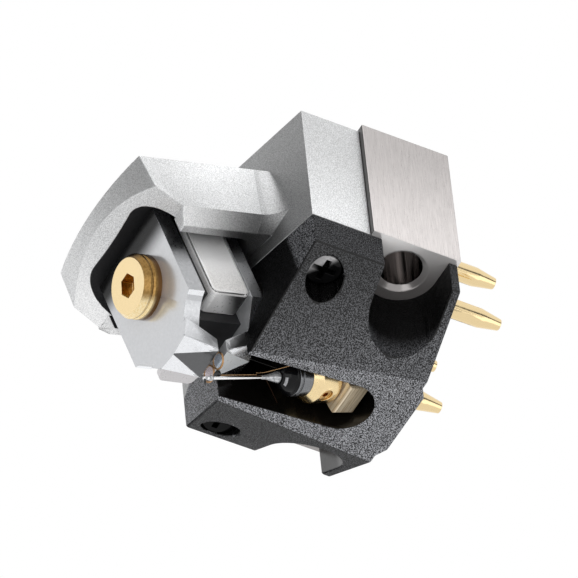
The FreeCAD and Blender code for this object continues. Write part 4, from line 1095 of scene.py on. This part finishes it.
class MakeStage(bpy.types.Operator):
    """Camera, floor, soft light and white surroundings"""
    bl_idname = "cartridge.stage"
    bl_label = "Stage"

    def execute(self, context):
        settings = context.scene.cartridge_stage
        context.scene.view_settings.view_transform = "Standard"
        self.add_camera(context, settings)
        self.add_world(context, settings)
        self.add_floor(context, settings)
        for softbox in SOFTBOXES:
            self.lamp(context, *softbox)
        return {"FINISHED"}

    def add_camera(self, context, settings):
        data = bpy.data.cameras.new("Camera")
        data.lens = settings.lens
        data.sensor_width = 36.0
        data.clip_start = 0.01
        camera = bpy.data.objects.new("Camera", data)
        turn = Matrix((VIEW_RIGHT, VIEW_UP, VIEW_BACK)).transposed().to_4x4()
        camera.matrix_world = Matrix.Translation(settings.camera_place) @ turn
        context.scene.collection.objects.link(camera)
        context.scene.camera = camera

    def add_world(self, context, settings):
        """White for the camera, a plain fill for the object, and flags for what metal mirrors."""
        world = bpy.data.worlds.new("White studio")
        context.scene.world = world
        world.use_nodes = True
        tree = world.node_tree
        background = tree.nodes["Background"]
        background.inputs["Color"].default_value = (1.0, 1.0, 1.0, 1.0)
        path = tree.nodes.new("ShaderNodeLightPath")
        seen = math_node(tree, "MAXIMUM", path.outputs["Is Camera Ray"],
                         path.outputs["Is Transmission Ray"])
        plain = math_node(tree, "MULTIPLY_ADD", seen, 1.0 - settings.fill, settings.fill)
        walls = 1.0
        for flag in FLAGS:
            walls = math_node(tree, "MULTIPLY", self.flag(tree, *flag), walls)
        gap = math_node(tree, "SUBTRACT", walls, plain)
        strength = math_node(tree, "MULTIPLY_ADD", gap, path.outputs["Is Glossy Ray"], plain)
        tree.links.new(strength, background.inputs["Strength"])

    def flag(self, tree, right, up, back, edge, core, dim):
        """A soft dark flag: 1 outside its edge, down to dim in its core, as cosines round its
        middle."""
        coords = tree.nodes.new("ShaderNodeTexCoord").outputs["Generated"]
        middle = VIEW_RIGHT * right + VIEW_UP * up + VIEW_BACK * back
        return map_range(tree, along(tree, coords, middle), (edge, core), (1.0, dim),
                         "SMOOTHSTEP")

    def add_floor(self, context, settings):
        """A pale floor that shows as nearly white to the camera and in mirrors."""
        bm = bmesh.new()
        bmesh.ops.create_grid(bm, x_segments=1, y_segments=1, size=3.0)
        bmesh.ops.translate(bm, vec=(0.0, 0.0, settings.floor_level), verts=bm.verts)
        mesh = bpy.data.meshes.new("Floor")
        bm.to_mesh(mesh)
        bm.free()
        floor = bpy.data.objects.new("Floor", mesh)
        context.scene.collection.objects.link(floor)
        material = bpy.data.materials.new("Pale floor")
        material.use_nodes = True
        tree = material.node_tree
        shader = tree.nodes["Principled BSDF"]
        shader.inputs["Base Color"].default_value = (0.86, 0.86, 0.86, 1.0)
        shader.inputs["Roughness"].default_value = 0.8
        glow = tree.nodes.new("ShaderNodeEmission")
        path = tree.nodes.new("ShaderNodeLightPath")
        seen = path.outputs["Is Camera Ray"]
        for kind in ("Is Glossy Ray", "Is Transmission Ray"):
            seen = math_node(tree, "MAXIMUM", seen, path.outputs[kind])
        mix = tree.nodes.new("ShaderNodeMixShader")
        tree.links.new(math_node(tree, "MULTIPLY", seen, 0.9), mix.inputs["Fac"])
        tree.links.new(shader.outputs[0], mix.inputs[1])
        tree.links.new(glow.outputs[0], mix.inputs[2])
        tree.links.new(mix.outputs[0], tree.nodes["Material Output"].inputs["Surface"])
        mesh.materials.append(material)

    def lamp(self, context, name, place, wide, tall, watts):
        """An area lamp, placed by right, up and towards the camera, and aimed at the object."""
        spot = LAMP_AIM + VIEW_RIGHT * place[0] + VIEW_UP * place[1] + VIEW_BACK * place[2]
        data = bpy.data.lights.new(name, "AREA")
        data.shape = "RECTANGLE"
        data.size = wide
        data.size_y = tall
        data.energy = watts
        lamp = bpy.data.objects.new(name, data)
        lamp.location = spot
        lamp.rotation_euler = (LAMP_AIM - spot).to_track_quat("-Z", "Y").to_euler()
        context.scene.collection.objects.link(lamp)


class CartridgePanel(bpy.types.Panel):
    """Lists the pieces in the sidebar"""
    bl_idname = "VIEW3D_PT_cartridge"
    bl_label = "Cartridge"
    bl_space_type = "VIEW_3D"
    bl_region_type = "UI"
    bl_category = "Cartridge"

    def draw(self, context):
        column = self.layout.column()
        for maker in MAKERS:
            column.operator(maker.bl_idname)


MAKERS = (MakeStage, MakeMountBlock, MakeFrontHousing, MakeLowerHousing, MakeHousingScrews,
          MakeGenerator, MakeCoils, MakeRod, MakeSuspension, MakeTerminals)
SETTINGS = (CartridgeSizes, CartridgeColours, CartridgeStage)


def register():
    for item in SETTINGS + MAKERS + (CartridgePanel,):
        bpy.utils.register_class(item)
    bpy.types.Scene.cartridge_sizes = bpy.props.PointerProperty(type=CartridgeSizes)
    bpy.types.Scene.cartridge_colours = bpy.props.PointerProperty(type=CartridgeColours)
    bpy.types.Scene.cartridge_stage = bpy.props.PointerProperty(type=CartridgeStage)


def unregister():
    for name in ("cartridge_sizes", "cartridge_colours", "cartridge_stage"):
        delattr(bpy.types.Scene, name)
    for item in reversed(SETTINGS + MAKERS + (CartridgePanel,)):
        bpy.utils.unregister_class(item)


def main():
    register()
    for maker in MAKERS:
        group, action = maker.bl_idname.split(".")
        getattr(getattr(bpy.ops, group), action)()


if __name__ == "__main__":
    main()
